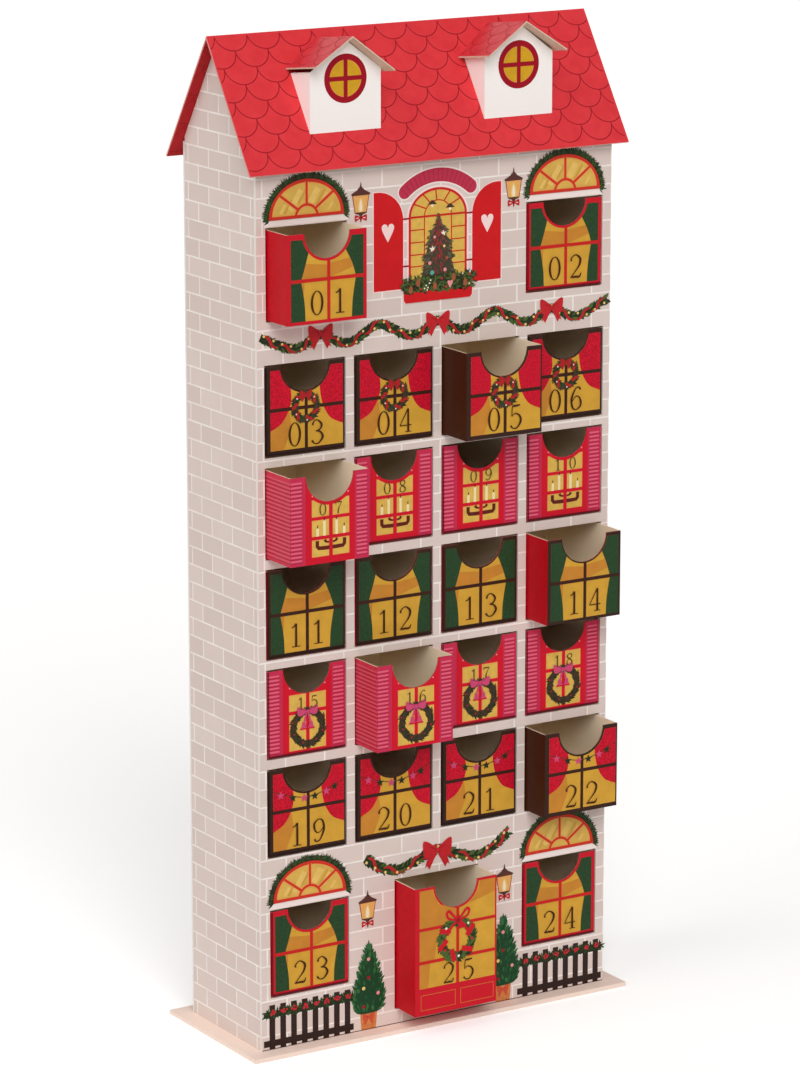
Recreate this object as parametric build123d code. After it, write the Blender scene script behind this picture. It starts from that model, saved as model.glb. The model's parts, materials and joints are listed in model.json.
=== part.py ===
from build123d import *

import os
from dataclasses import dataclass
from math import cos, hypot, radians, sin, tan

# House-shaped advent calendar of board and card, in millimetres.
# X runs across the front, Y from front to back, Z up.
# The origin is the middle of the underside of the base board.

# Boards, card and the clearances between them
board = 2.0
base_thickness = 3.0
roof_card = 1.2
drawer_card = 0.8
sleeve_card = 1.0
dormer_card = 0.8
glue_gap = 0.1
slot_play = 0.15

# Small drawers and the play around them in their doorways
drawer_width = 56.0
drawer_height = 55.5
drawer_depth = 86.5
side_play = 1.0
top_play = 1.2
floor_play = 0.3
# How far the shelves and sleeves stand above the lower edges of the doorways
sill_lip = 1.0
notch_radius = 17.0
outer_notch_radius = 16.0

# The tall drawer behind the front door
door_width = 61.4
door_height = 85.0
door_top_play = 1.0

# Grid of doorways
columns = 4
rows = 5
bar = 6.0
edge_margin = 5.0
door_sill = 12.8
lower_sill = 37.0
lower_band = 34.0
upper_band = 26.5
eave_band = 42.7
outer_inset = 1.5

# What stays free behind a closed drawer, whose front is flush with the house front
stop_gap = 0.5

# Base and roof
base_overhang = 11.0
roof_pitch = 56.65
eave_overhang = 7.5
gable_overhang = 8.0
attic_gap = 2.5

# Dormers
dormer_spacing = 126.0
dormer_setback = 5.8
dormer_width = 50.4
left_wall_height = 37.5
right_wall_height = 39.5
dormer_pitch = 36.5
dormer_front_overhang = 9.0
dormer_tilt = 7.0

# Pitch and length of the left and right slopes of the dormers' roofs, whose cards are folded by hand
left_dormer_slopes = ((31.5, 32.2), (37.6, 35.9))
right_dormer_slopes = ((33.7, 35.0), (33.3, 34.5))

# Where the front of each open drawer stands ahead of the house front,
# as a share of the drawer's depth. The rest are closed.
pulled_out_share = {1: 0.280, 5: 0.315, 7: 0.333, 14: 0.272, 16: 0.292, 22: 0.258, 25: 0.270}

# Sizes that follow from those above
opening_width = drawer_width + 2 * side_play
opening_height = sill_lip + floor_play + drawer_height + top_play
door_opening_width = door_width + 2 * side_play
door_opening_height = sill_lip + floor_play + door_height + door_top_play
column_pitch = opening_width + bar
row_pitch = opening_height + bar
case_width = columns * opening_width + (columns - 1) * bar + 2 * edge_margin
case_depth = drawer_depth + stop_gap + board
front_y = -case_depth / 2
back_y = case_depth / 2
inner_width = case_width - 2 * board
inner_depth = case_depth - 2 * board
grid_sill = lower_sill + opening_height + lower_band
grid_top = grid_sill + rows * row_pitch - bar
upper_sill = grid_top + upper_band
wall_top = upper_sill + opening_height + eave_band
attic_floor_top = upper_sill + opening_height + sleeve_card + attic_gap + board
roof_rise = tan(radians(roof_pitch))
ridge_underside = wall_top + case_depth / 2 * roof_rise
ridge_top = ridge_underside + roof_card / cos(radians(roof_pitch))
roof_length = case_width + 2 * gable_overhang
roof_half_depth = case_depth / 2 + eave_overhang
dormer_face_y = front_y + dormer_setback
dormer_sill = ridge_top + dormer_face_y * roof_rise
dormer_rise = tan(radians(dormer_pitch))
dormer_gable_height = dormer_width / 2 * dormer_rise
grid_floor = grid_sill + sill_lip
overrun = board


@dataclass
class Doorway:
    """One opening in the house front, with the drawer that runs in it."""

    number: int
    x: float
    sill: float
    width: float
    height: float
    drawer_width: float
    drawer_height: float
    notch_radius: float

    @property
    def ahead(self):
        """How far the drawer's front stands ahead of the house front."""
        return pulled_out_share.get(self.number, 0) * drawer_depth

    @property
    def floor(self):
        """The height of the shelf or sleeve that the drawer runs on."""
        return self.sill + sill_lip


def small_doorway(number, x, sill, radius):
    return Doorway(number, x, sill, opening_width, opening_height, drawer_width, drawer_height, radius)


def all_doorways():
    """The doorways in the order of their numbers."""
    end_column_x = (columns - 1) * column_pitch / 2
    outer_x = end_column_x - outer_inset
    places = [(x, upper_sill, outer_notch_radius) for x in (-outer_x, outer_x)]
    for row in reversed(range(rows)):
        sill = grid_sill + row * row_pitch
        places += [(column * column_pitch - end_column_x, sill, notch_radius) for column in range(columns)]
    places += [(x, lower_sill, outer_notch_radius) for x in (-outer_x, outer_x)]
    found = [small_doorway(number, *place) for number, place in enumerate(places, start=1)]
    found.append(Doorway(len(found) + 1, 0, door_sill, door_opening_width, door_opening_height, door_width,
                         door_height, outer_notch_radius))
    return found


def block(x_low, x_high, y_low, y_high, z_low, z_high):
    """A box between two corners."""
    corner_to_corner = (x_high - x_low, y_high - y_low, z_high - z_low)
    return Pos(x_low, y_low, z_low) * Box(*corner_to_corner, align=(Align.MIN, Align.MIN, Align.MIN))


def under_slopes(top, half_width, bottom, length):
    """What lies under a pair of slopes at the roof's pitch, with its ridge along X at the height top."""
    eave = top - half_width * roof_rise
    outline = Polyline(
        (0, -half_width, bottom), (0, half_width, bottom), (0, half_width, eave), (0, 0, top), (0, -half_width, eave),
        close=True,
    )
    return extrude(make_face(outline), length / 2, dir=(1, 0, 0), both=True)


def base_board():
    return block(
        -case_width / 2 - base_overhang, case_width / 2 + base_overhang,
        front_y - base_overhang, back_y + base_overhang, 0, base_thickness,
    )


def house_front(doorways):
    """The front board, with an opening for each drawer."""
    front = block(-case_width / 2, case_width / 2, front_y, front_y + board, base_thickness + glue_gap,
                  wall_top - glue_gap)
    for way in doorways:
        front -= block(way.x - way.width / 2, way.x + way.width / 2, front_y - overrun, front_y + board + overrun,
                       way.sill, way.sill + way.height)
    return front


def back_wall():
    return block(-case_width / 2, case_width / 2, back_y - board, back_y, base_thickness + glue_gap,
                 wall_top - glue_gap)


def gable_wall(side):
    """An end wall between front and back, up to the underside of the roof. side is -1 on the left, 1 on the right."""
    half_depth = inner_depth / 2 - glue_gap
    wall = under_slopes(ridge_underside - glue_gap, half_depth, base_thickness + glue_gap, board)
    return Pos(side * (case_width - board) / 2, 0, 0) * wall


def level_board(top):
    """A board that spans the inside of the case, with its upper face at the height top."""
    half_width = inner_width / 2 - glue_gap
    half_depth = inner_depth / 2 - glue_gap
    return block(-half_width, half_width, -half_depth, half_depth, top - board, top)


def divider_places():
    return [(index - columns / 2) * column_pitch for index in range(1, columns)]


def shelf(level):
    """A shelf of the grid. Those between the lowest and the highest are slotted from the front for the dividers."""
    top = grid_floor + level * row_pitch
    plate = level_board(top)
    if 0 < level < rows:
        half_slot = board / 2 + slot_play
        for x in divider_places():
            plate -= block(x - half_slot, x + half_slot, -inner_depth, slot_play, top - board - overrun,
                           top + overrun)
    return plate


def divider(x):
    """An upright of the grid, slotted from the back for the shelves that it crosses."""
    low = grid_floor + glue_gap
    high = grid_floor + rows * row_pitch - board - glue_gap
    half_depth = inner_depth / 2 - glue_gap
    upright = block(x - board / 2, x + board / 2, -half_depth, half_depth, low, high)
    for level in range(1, rows):
        top = grid_floor + level * row_pitch
        upright -= block(x - board / 2 - overrun, x + board / 2 + overrun, -slot_play, inner_depth,
                         top - board - slot_play, top + slot_play)
    return upright


def sleeve(way):
    """A folded card tube behind a doorway that has no shelf under it."""
    half_width = way.width / 2
    low = front_y + board + glue_gap
    high = back_y - board - glue_gap
    outside = block(way.x - half_width - sleeve_card, way.x + half_width + sleeve_card, low, high,
                    way.floor - sleeve_card, way.sill + way.height + sleeve_card)
    return outside - block(way.x - half_width, way.x + half_width, low - overrun, high + overrun, way.floor,
                           way.sill + way.height)


def roof():
    """One card folded over the ridge, with its eaves cut square to the slopes."""
    eave = ridge_top - roof_half_depth * roof_rise
    inner_half = roof_half_depth - roof_card * sin(radians(roof_pitch))
    inner_eave = eave - roof_card * cos(radians(roof_pitch))
    outline = Polyline((0, 0, ridge_top), (0, roof_half_depth, eave), (0, inner_half, inner_eave),
                       (0, 0, ridge_underside), (0, -inner_half, inner_eave), (0, -roof_half_depth, eave), close=True)
    return extrude(make_face(outline), roof_length / 2, dir=(1, 0, 0), both=True)


def dormer_plane(x, peak):
    """A plane through a dormer's face at the height peak, tipped back by the tilt of its roof, with Y up the face."""
    upright = Plane(origin=(x, dormer_face_y, peak), x_dir=(1, 0, 0), z_dir=(0, -1, 0))
    return upright.rotated((-dormer_tilt, 0, 0))


def dormer_body(x, wall_height):
    """The dormer's face and cheeks, folded from one card, standing on the slope of the roof."""
    peak = dormer_sill + wall_height + dormer_gable_height
    half = dormer_width / 2
    back = dormer_face_y + case_depth / 2
    low = dormer_sill - wall_height
    outside = block(x - half, x + half, dormer_face_y, back, low, peak + wall_height)
    inside = block(x - half + dormer_card, x + half - dormer_card, dormer_face_y + dormer_card, back + overrun,
                   low - overrun, peak + wall_height + overrun)
    reach = dormer_width
    outline = Polyline((0, -glue_gap), (reach, -glue_gap - reach * dormer_rise), (reach, -case_depth),
                       (-reach, -case_depth), (-reach, -glue_gap - reach * dormer_rise), close=True)
    under_dormer_roof = extrude(dormer_plane(x, peak) * make_face(outline), case_depth, both=True)
    roof_block = under_slopes(ridge_top + glue_gap, case_depth, -case_depth, roof_length)
    return (outside - inside & under_dormer_roof) - roof_block


def dormer_roof(x, wall_height, slopes):
    """A card folded over the dormer, trimmed where it meets the slope of the roof.

    A slope that is steeper than the gable rests on the cheek below it. Otherwise the card rests on the peak.
    """
    (left_rise, left_half), (right_rise, right_half) = [
        (tan(radians(pitch)), length * cos(radians(pitch))) for pitch, length in slopes]
    fold = dormer_card * hypot(1, max(left_rise, right_rise))
    outline = Polyline(
        (0, 0), (right_half, -right_half * right_rise),
        (right_half, dormer_card * hypot(1, right_rise) - right_half * right_rise), (0, fold),
        (-left_half, dormer_card * hypot(1, left_rise) - left_half * left_rise), (-left_half, -left_half * left_rise),
        close=True,
    )
    lift = max(0, dormer_width / 2 * (max(left_rise, right_rise) - dormer_rise))
    plane = dormer_plane(x, dormer_sill + wall_height + dormer_gable_height + lift)
    card = extrude(plane * make_face(outline), dormer_front_overhang)
    card += extrude(plane * make_face(outline), dormer_face_y)
    roof_block = under_slopes(ridge_top + glue_gap, case_depth, -case_depth, roof_length)
    return card - roof_block


def drawer(way):
    """A folded card tray with a round finger notch in the top edge of its front."""
    low_x = way.x - way.drawer_width / 2
    high_x = way.x + way.drawer_width / 2
    low_y = front_y - way.ahead
    high_y = low_y + drawer_depth
    low_z = way.floor + floor_play
    high_z = low_z + way.drawer_height
    tray = block(low_x, high_x, low_y, high_y, low_z, high_z)
    tray -= block(low_x + drawer_card, high_x - drawer_card, low_y + drawer_card, high_y - drawer_card,
                  low_z + drawer_card, high_z + overrun)
    notch = Plane(origin=(way.x, low_y + drawer_card, high_z), x_dir=(1, 0, 0), z_dir=(0, -1, 0))
    tray -= extrude(notch * Circle(way.notch_radius), drawer_card + overrun)
    return tray


def write(shape, node):
    export_step(shape, f"parts/{node}.step")


os.makedirs("parts", exist_ok=True)
doorways = all_doorways()
ways_with_sleeves = [way for way in doorways if way.sill < grid_sill or way.sill > grid_top]

write(base_board(), "base_board")
write(house_front(doorways), "house_front")
write(back_wall(), "back_wall")
write(gable_wall(-1), "left_gable_wall")
write(gable_wall(1), "right_gable_wall")
write(level_board(attic_floor_top), "attic_floor")
write(roof(), "roof")
for level in range(rows + 1):
    write(shelf(level), f"shelf_{level + 1}")
for place, x in zip(("left", "middle", "right"), divider_places()):
    write(divider(x), f"{place}_divider")
for way in ways_with_sleeves:
    write(sleeve(way), f"sleeve_{way.number:02d}")
write(dormer_body(-dormer_spacing / 2, left_wall_height), "left_dormer_body")
write(dormer_roof(-dormer_spacing / 2, left_wall_height, left_dormer_slopes), "left_dormer_roof")
write(dormer_body(dormer_spacing / 2, right_wall_height), "right_dormer_body")
write(dormer_roof(dormer_spacing / 2, right_wall_height, right_dormer_slopes), "right_dormer_roof")
for way in doorways:
    write(drawer(way), f"drawer_{way.number:02d}")
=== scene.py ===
import json
import logging
import math
import random
from dataclasses import dataclass
from enum import Enum
from functools import partial
from typing import Callable, Iterable, Sequence

import bpy
from mathutils import Matrix, Vector
from mathutils.geometry import convex_hull_2d


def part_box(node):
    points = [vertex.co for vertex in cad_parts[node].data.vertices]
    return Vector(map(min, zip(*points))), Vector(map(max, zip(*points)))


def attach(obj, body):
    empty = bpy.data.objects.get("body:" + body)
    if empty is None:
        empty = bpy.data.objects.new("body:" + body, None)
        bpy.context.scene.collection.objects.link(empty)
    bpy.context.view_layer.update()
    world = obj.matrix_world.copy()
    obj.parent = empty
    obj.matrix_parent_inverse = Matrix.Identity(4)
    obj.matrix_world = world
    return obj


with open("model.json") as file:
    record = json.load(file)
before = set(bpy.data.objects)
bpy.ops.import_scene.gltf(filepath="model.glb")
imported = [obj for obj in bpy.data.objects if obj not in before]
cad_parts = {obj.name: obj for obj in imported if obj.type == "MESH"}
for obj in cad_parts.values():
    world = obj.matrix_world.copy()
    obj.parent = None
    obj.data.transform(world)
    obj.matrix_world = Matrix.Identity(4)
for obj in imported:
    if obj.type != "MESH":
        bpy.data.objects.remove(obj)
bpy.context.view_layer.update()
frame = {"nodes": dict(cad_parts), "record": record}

# Prints are drawn in millimetres. All else is in metres.
MM = 0.001
# How thick one level of a print's stack is, in millimetres.
LAYER = 0.04
# Strokes of one level may cross, so by turns they are raised by some slivers, in millimetres.
SLIVER = 0.003
SLIVERS = 12
# How thick a tray's card is.
CARD = 0.8 * MM
# The slats of a louvred drawer: their number, how far apart they are and how high the lowest one is.
SLATS = 20
SLAT_PITCH = 2.56
SLAT_FOOT = 3.4
# The left and right sides of what is drawn for both.
SIDES = (-1, 1)
log = logging.getLogger("advent_house")

Point = tuple[float, ...]
Line = list[Point]


def linear(level: int) -> float:
    """Turns a display value from 0 to 255 into a linear one.

    Args:
        level: The display value.

    Returns:
        The linear value from 0 to 1.
    """
    share = level / 255
    return share / 12.92 if share <= 0.04045 else ((share + 0.055) / 1.055) ** 2.4


def rgba(red: int, green: int, blue: int, gain: float = 1.0) -> tuple[float, float, float, float]:
    """Gives a shader colour.

    Args:
        red: Display value from 0 to 255.
        green: Display value from 0 to 255.
        blue: Display value from 0 to 255.
        gain: What the linear colour is multiplied by.

    Returns:
        The linear colour with an alpha of 1.
    """
    return tuple(min(1.0, linear(level) * gain) for level in (red, green, blue)) + (1.0,)


class Value:
    """A number that a material's nodes give, on which maths is written as Python expressions."""

    def __init__(self, shader: "Shader", socket: bpy.types.NodeSocket) -> None:
        """Wraps a socket of a shader's tree."""
        self.shader = shader
        self.socket = socket

    def __add__(self, other: "Value | float") -> "Value":
        """Adds a value or a number."""
        return self.shader.math("ADD", self, other)

    __radd__ = __add__

    def __sub__(self, other: "Value | float") -> "Value":
        """Takes a value or a number away."""
        return self.shader.math("SUBTRACT", self, other)

    def __rsub__(self, other: float) -> "Value":
        """Takes this value away from a number."""
        return self.shader.math("SUBTRACT", other, self)

    def __mul__(self, other: "Value | float") -> "Value":
        """Multiplies by a value or a number."""
        return self.shader.math("MULTIPLY", self, other)

    __rmul__ = __mul__

    def over(self, limit: float) -> "Value":
        """Gives 1 where this value is over a limit, else 0."""
        return self.shader.math("GREATER_THAN", self, limit)

    def size(self) -> "Value":
        """Gives this value without its sign."""
        return self.shader.math("ABSOLUTE", self)

    def either(self, other: "Value") -> "Value":
        """Gives the larger of two masks."""
        return self.shader.math("MAXIMUM", self, other)


class Shader:
    """A material with one Principled surface, and a method that adds any other node."""

    def __init__(self, name: str, roughness: float, gloss: float = 0.14) -> None:
        """Starts the material.

        Args:
            name: The material's name.
            roughness: The surface's roughness, the same all over.
            gloss: How strongly it reflects, the same all over.
        """
        self.material = bpy.data.materials.new(name)
        self.material.use_nodes = True
        self.tree = self.material.node_tree
        self.tree.nodes.clear()
        self.surface = self.node("ShaderNodeBsdfPrincipled", inputs={
            "Roughness": roughness, "Specular IOR Level": gloss})
        self.node("ShaderNodeOutputMaterial", inputs={"Surface": self.surface.outputs["BSDF"]})

    def node(self, kind: str, settings: dict | None = None, inputs: dict | None = None) -> bpy.types.Node:
        """Adds a node.

        Args:
            kind: The node's type.
            settings: Its properties, which are set first.
            inputs: What its sockets hold or are linked to, by name or number.

        Returns:
            The node.
        """
        made = self.tree.nodes.new(kind)
        for name, value in (settings or {}).items():
            setattr(made, name, value)
        for name, value in (inputs or {}).items():
            self.put(made.inputs[name], value)
        return made

    def put(self, socket: bpy.types.NodeSocket, value: object) -> None:
        """Links a value or a socket to a socket, or sets it to a constant."""
        source = value.socket if isinstance(value, Value) else value
        if isinstance(source, bpy.types.NodeSocket):
            self.tree.links.new(source, socket)
        else:
            socket.default_value = source

    def math(self, operation: str, first: object, second: object = 0.0) -> Value:
        """Adds a Math node.

        Args:
            operation: What it does.
            first: Its first value or number.
            second: Its second value or number.

        Returns:
            Its result.
        """
        made = self.node("ShaderNodeMath", {"operation": operation}, {0: first, 1: second})
        return Value(self, made.outputs[0])

    def place(self) -> list[Value]:
        """Gives the Object coordinates X, Y and Z in metres."""
        found = self.node("ShaderNodeTexCoord")
        parts = self.node("ShaderNodeSeparateXYZ", inputs={0: found.outputs["Object"]})
        return [Value(self, socket) for socket in parts.outputs]

    def facing(self) -> list[Value]:
        """Gives the X, Y and Z of the surface's normal."""
        found = self.node("ShaderNodeTexCoord")
        parts = self.node("ShaderNodeSeparateXYZ", inputs={0: found.outputs["Normal"]})
        return [Value(self, socket) for socket in parts.outputs]

    def noise(self, grain: float, detail: float = 2.0, stretch: Sequence[float] = (1.0, 1.0, 1.0)) -> Value:
        """Gives noise over the Object coordinates.

        Args:
            grain: The size of its spots in millimetres.
            detail: How much finer noise is added.
            stretch: What each coordinate is multiplied by.

        Returns:
            A value from 0 to 1.
        """
        found = self.node("ShaderNodeTexCoord")
        mapped = self.node("ShaderNodeMapping", inputs={"Vector": found.outputs["Object"], "Scale": stretch})
        made = self.node("ShaderNodeTexNoise", inputs={
            "Vector": mapped.outputs["Vector"], "Scale": 1 / (grain * MM), "Detail": detail})
        return Value(self, made.outputs["Fac"])

    def mix(self, share: object, first: object, second: object) -> bpy.types.NodeSocket:
        """Mixes two colours.

        Args:
            share: How much of the second colour shows.
            first: The first colour.
            second: The second colour.

        Returns:
            The mixed colour's socket.
        """
        made = self.node("ShaderNodeMix", {"data_type": "RGBA"}, {0: share, 6: first, 7: second})
        return made.outputs[2]

    def spread(self, value: Value, low: float, high: float) -> Value:
        """Stretches the part of a value between low and high to 0 and 1."""
        made = self.node("ShaderNodeMapRange", inputs={0: value, 1: low, 2: high})
        return Value(self, made.outputs[0])

    def clouds(self, grain: float, detail: float, first: object, second: object) -> bpy.types.NodeSocket:
        """Mixes two colours in soft clouds.

        Args:
            grain: The size of the clouds in millimetres.
            detail: How much finer noise is added.
            first: The one colour.
            second: The other colour.

        Returns:
            The mixed colour's socket.
        """
        return self.mix(self.spread(self.noise(grain, detail), 0.3, 0.7), first, second)

    def card(self, colour: object, depth: float = 0.02, grain: float = 0.5) -> bpy.types.Material:
        """Finishes the surface as coated card, which is faintly uneven.

        Args:
            colour: Its colour, or the socket that gives it.
            depth: How deep the unevenness is, in millimetres.
            grain: How large its spots are, in millimetres.

        Returns:
            The material.
        """
        self.put(self.surface.inputs["Base Color"], colour)
        bump = self.node("ShaderNodeBump", inputs={
            "Strength": 0.25, "Distance": depth * MM, "Height": self.noise(grain, 3.0)})
        self.put(self.surface.inputs["Normal"], bump.outputs["Normal"])
        return self.material


class Ink(Enum):
    """The printed colours: red, green and blue, and for a mottled one how much it varies and its grain."""

    RED = 204, 22, 40
    SIDE_RED = 192, 0, 22
    BAR_RED = 200, 34, 32
    FAN_RED = 208, 52, 36
    SHUTTER_RED = 208, 25, 30, 0.05, 8.0
    BROWN = 56, 26, 16
    FRAME_BROWN = 52, 28, 20, 0.12, 3.0
    BROWN_SIDE = 64, 25, 2
    # Painted shadow of the gaps round drawers that are pushed home, for red and for brown fronts.
    RED_GAP_SHADOW = 92, 8, 24
    BROWN_GAP_SHADOW = 30, 12, 8
    DIGIT = 64, 30, 12
    SMALL_DIGIT = 92, 66, 28
    RED_CURTAIN = 198, 14, 42, 0.34, 0.9
    GREEN_CURTAIN = 37, 65, 36, 0.26, 0.9
    AMBER = 212, 160, 56, 0.07, 9.0
    AMBER_DARK = 200, 132, 48, 0.06, 7.0
    PANE_EDGE = 236, 150, 84
    GOLD = 220, 176, 84, 0.08, 6.0
    GOLD_LIGHT = 232, 192, 104, 0.05, 4.0
    GOLD_DARK = 206, 158, 70, 0.06, 5.0
    DORMER_RED = 158, 10, 32
    DORMER_GOLD = 212, 162, 34, 0.07, 4.0
    YELLOW = 222, 180, 84, 0.08, 4.0
    DOOR_RED = 210, 18, 42
    LOUVRE = 200, 46, 80
    LOUVRE_LIGHT = 228, 98, 124
    LOUVRE_SIDE = 216, 80, 98
    LOUVRE_WALL = 204, 50, 72
    LOUVRE_DARK = 168, 32, 58
    LEAF = 48, 74, 34, 0.22, 1.0
    LEAF_DARK = 34, 44, 24, 0.18, 1.0
    LEAF_LIGHT = 76, 98, 44, 0.15, 1.0
    LEAF_BROWN = 74, 50, 38, 0.2, 1.0
    NEEDLE = 58, 50, 32, 0.2, 1.0
    FIR = 142, 56, 54, 0.2, 1.0
    OLIVE = 92, 94, 68, 0.2, 1.0
    FIR_DARK = 70, 62, 48, 0.2, 1.0
    TREE = 34, 86, 46, 0.16, 1.0
    TREE_DARK = 24, 64, 36, 0.14, 1.0
    TREE_LIGHT = 56, 108, 60, 0.12, 1.0
    RIBBON = 196, 36, 44, 0.08, 2.0
    RIBBON_DARK = 150, 22, 34
    GARLAND_RIBBON = 180, 38, 42, 0.14, 1.5
    WREATH_RIBBON = 176, 34, 36, 0.1, 1.0
    PINK = 208, 74, 116, 0.08, 1.5
    PINK_DARK = 176, 46, 88
    ROSE = 236, 150, 150
    CREAM = 246, 232, 208
    CANDLE = 248, 226, 176
    BRACKET = 96, 28, 22
    LIGHT = 236, 204, 124
    LANTERN = 88, 50, 44
    GLASS = 234, 172, 98, 0.05, 3.0
    GLASS_EDGE = 156, 88, 52
    HOOD = 190, 50, 76, 0.05, 2.0
    HOOD_LINE = 158, 38, 62
    TEAL = 92, 172, 156
    POT = 208, 128, 72, 0.14, 2.5
    POT_BOW = 206, 84, 58
    CONE = 160, 88, 56, 0.2, 1.0
    FENCE = 48, 31, 27, 0.16, 1.5
    HOLLY = 196, 52, 66
    LINTEL = 246, 230, 224
    HALO = 251, 220, 217
    SCALLOP = 154, 22, 34
    DORMER_SCALLOP = 176, 34, 46

    def colour(self, gain: float = 1.0) -> tuple[float, float, float, float]:
        """Gives the ink's linear colour, brightened by a gain."""
        return rgba(*self.value[:3], gain)

    def material(self) -> bpy.types.Material:
        """Gives the ink's material, made the first time that it is asked for."""
        name = f"{self.name.lower()}_ink"
        found = bpy.data.materials.get(name)
        if found:
            return found
        shader = Shader(name, 0.5)
        colour = self.colour()
        if len(self.value) > 3:
            mottle, grain = self.value[3:]
            colour = shader.clouds(grain, 3.0, self.colour(1 - mottle), self.colour(1 + mottle))
        return shader.card(colour)


def select_only(objects: Iterable[bpy.types.Object]) -> None:
    """Selects these objects and no others, and makes the first one active."""
    bpy.ops.object.select_all(action="DESELECT")
    chosen = list(objects)
    for one in chosen:
        one.select_set(True)
    bpy.context.view_layer.objects.active = chosen[0]


def smooth(points: Sequence[Point], steps: int = 6, closed: bool = False) -> Line:
    """Runs a rounded curve through points.

    Args:
        points: The points, each with as many numbers as the curve should carry along.
        steps: How many pieces a span is cut into.
        closed: Whether the last point leads back to the first.

    Returns:
        The points of the curve.
    """
    count = len(points)
    found = []
    for index in range(count if closed else count - 1):
        near = [index + offset for offset in (-1, 0, 1, 2)]
        picked = [points[at % count] if closed else points[min(max(at, 0), count - 1)] for at in near]
        for step in range(steps):
            t = step / steps
            found.append(tuple(
                (2 * b + (c - a) * t + (2 * a - 5 * b + 4 * c - d) * t ** 2
                 + (3 * b - a - 3 * c + d) * t ** 3) / 2
                for a, b, c, d in zip(*picked)))
    if not closed:
        found.append(tuple(points[-1]))
    return found


def arc(x: float, y: float, across: float, up: float, start: float, end: float, steps: int = 24) -> Line:
    """Gives points on an ellipse.

    Args:
        x: Its middle, across.
        y: Its middle, upwards.
        across: Its half width.
        up: Its half height.
        start: The first angle in degrees, counted from the right.
        end: The last angle in degrees.
        steps: How many pieces the arc is cut into.

    Returns:
        The points from start to end.
    """
    angles = [math.radians(start + (end - start) * step / steps) for step in range(steps + 1)]
    return [(x + across * math.cos(angle), y + up * math.sin(angle)) for angle in angles]


def ring(x: float, y: float, across: float, up: float, steps: int = 28) -> Line:
    """Gives the points of a whole ellipse."""
    return arc(x, y, across, up, 0, 360 * (steps - 1) / steps, steps - 1)


def rectangle(left: float, right: float, low: float, high: float) -> Line:
    """Gives the corners of an upright rectangle."""
    return [(left, low), (right, low), (right, high), (left, high)]


def mirrored(points: Sequence[Point], middle: float = 0.0) -> Line:
    """Mirrors points left to right about a middle."""
    return [(2 * middle - point[0], *point[1:]) for point in points]


def moved(points: Sequence[Point], x: float, y: float, scale: float = 1.0) -> Line:
    """Scales points about zero, widths too, and then moves them."""
    return [(x + point[0] * scale, y + point[1] * scale,
             *(part * scale for part in point[2:])) for point in points]


def on_side(points: Sequence[Point], side: int) -> Line:
    """Gives what is drawn for the right, or its mirror image where the side is -1."""
    return list(points) if side > 0 else mirrored(points)


def whole(half: Sequence[Point], middle: float = 0.0) -> Line:
    """Gives a symmetrical outline from the half of it that lies right of a middle."""
    return [*half, *mirrored([point for point in half if point[0] != middle], middle)[::-1]]


def with_width(points: Sequence[Point], width: float) -> Line:
    """Gives points the same stroke width."""
    return [(point[0], point[1], width) for point in points]


def sheet(origin: Sequence[float], across: Sequence[float], up: Sequence[float]) -> Matrix:
    """Gives the place of a flat print.

    Args:
        origin: Where the print's zero point lies, in metres.
        across: The direction of its X.
        up: The direction of its Y.

    Returns:
        The matrix that lays the print there, facing along across times up.
    """
    x_axis = Vector(across).normalized()
    y_axis = Vector(up).normalized()
    turned = Matrix((x_axis, y_axis, x_axis.cross(y_axis))).transposed().to_4x4()
    return Matrix.Translation(Vector(origin)) @ turned


def facing_front(x: float, y: float, z: float) -> Matrix:
    """Gives the place of a print that stands upright and faces the front."""
    return sheet((x, y, z), (1, 0, 0), (0, 0, 1))


def towards(azimuth: float, elevation: float) -> Vector:
    """Gives the direction of a viewer or a light. Its angles are in degrees, the azimuth from the front."""
    turn, lift = math.radians(azimuth), math.radians(elevation)
    return Vector((math.sin(turn) * math.cos(lift), -math.cos(turn) * math.cos(lift), math.sin(lift)))


def lay(piece: bpy.types.Object, place: Matrix) -> None:
    """Moves the selected piece to its place, which its mesh then holds."""
    piece.matrix_world = place
    bpy.ops.object.transform_apply(location=True, rotation=True, scale=True)


def dress(node: str, material: bpy.types.Material) -> None:
    """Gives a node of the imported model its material."""
    materials = frame["nodes"][node].data.materials
    materials.clear()
    materials.append(material)


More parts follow.
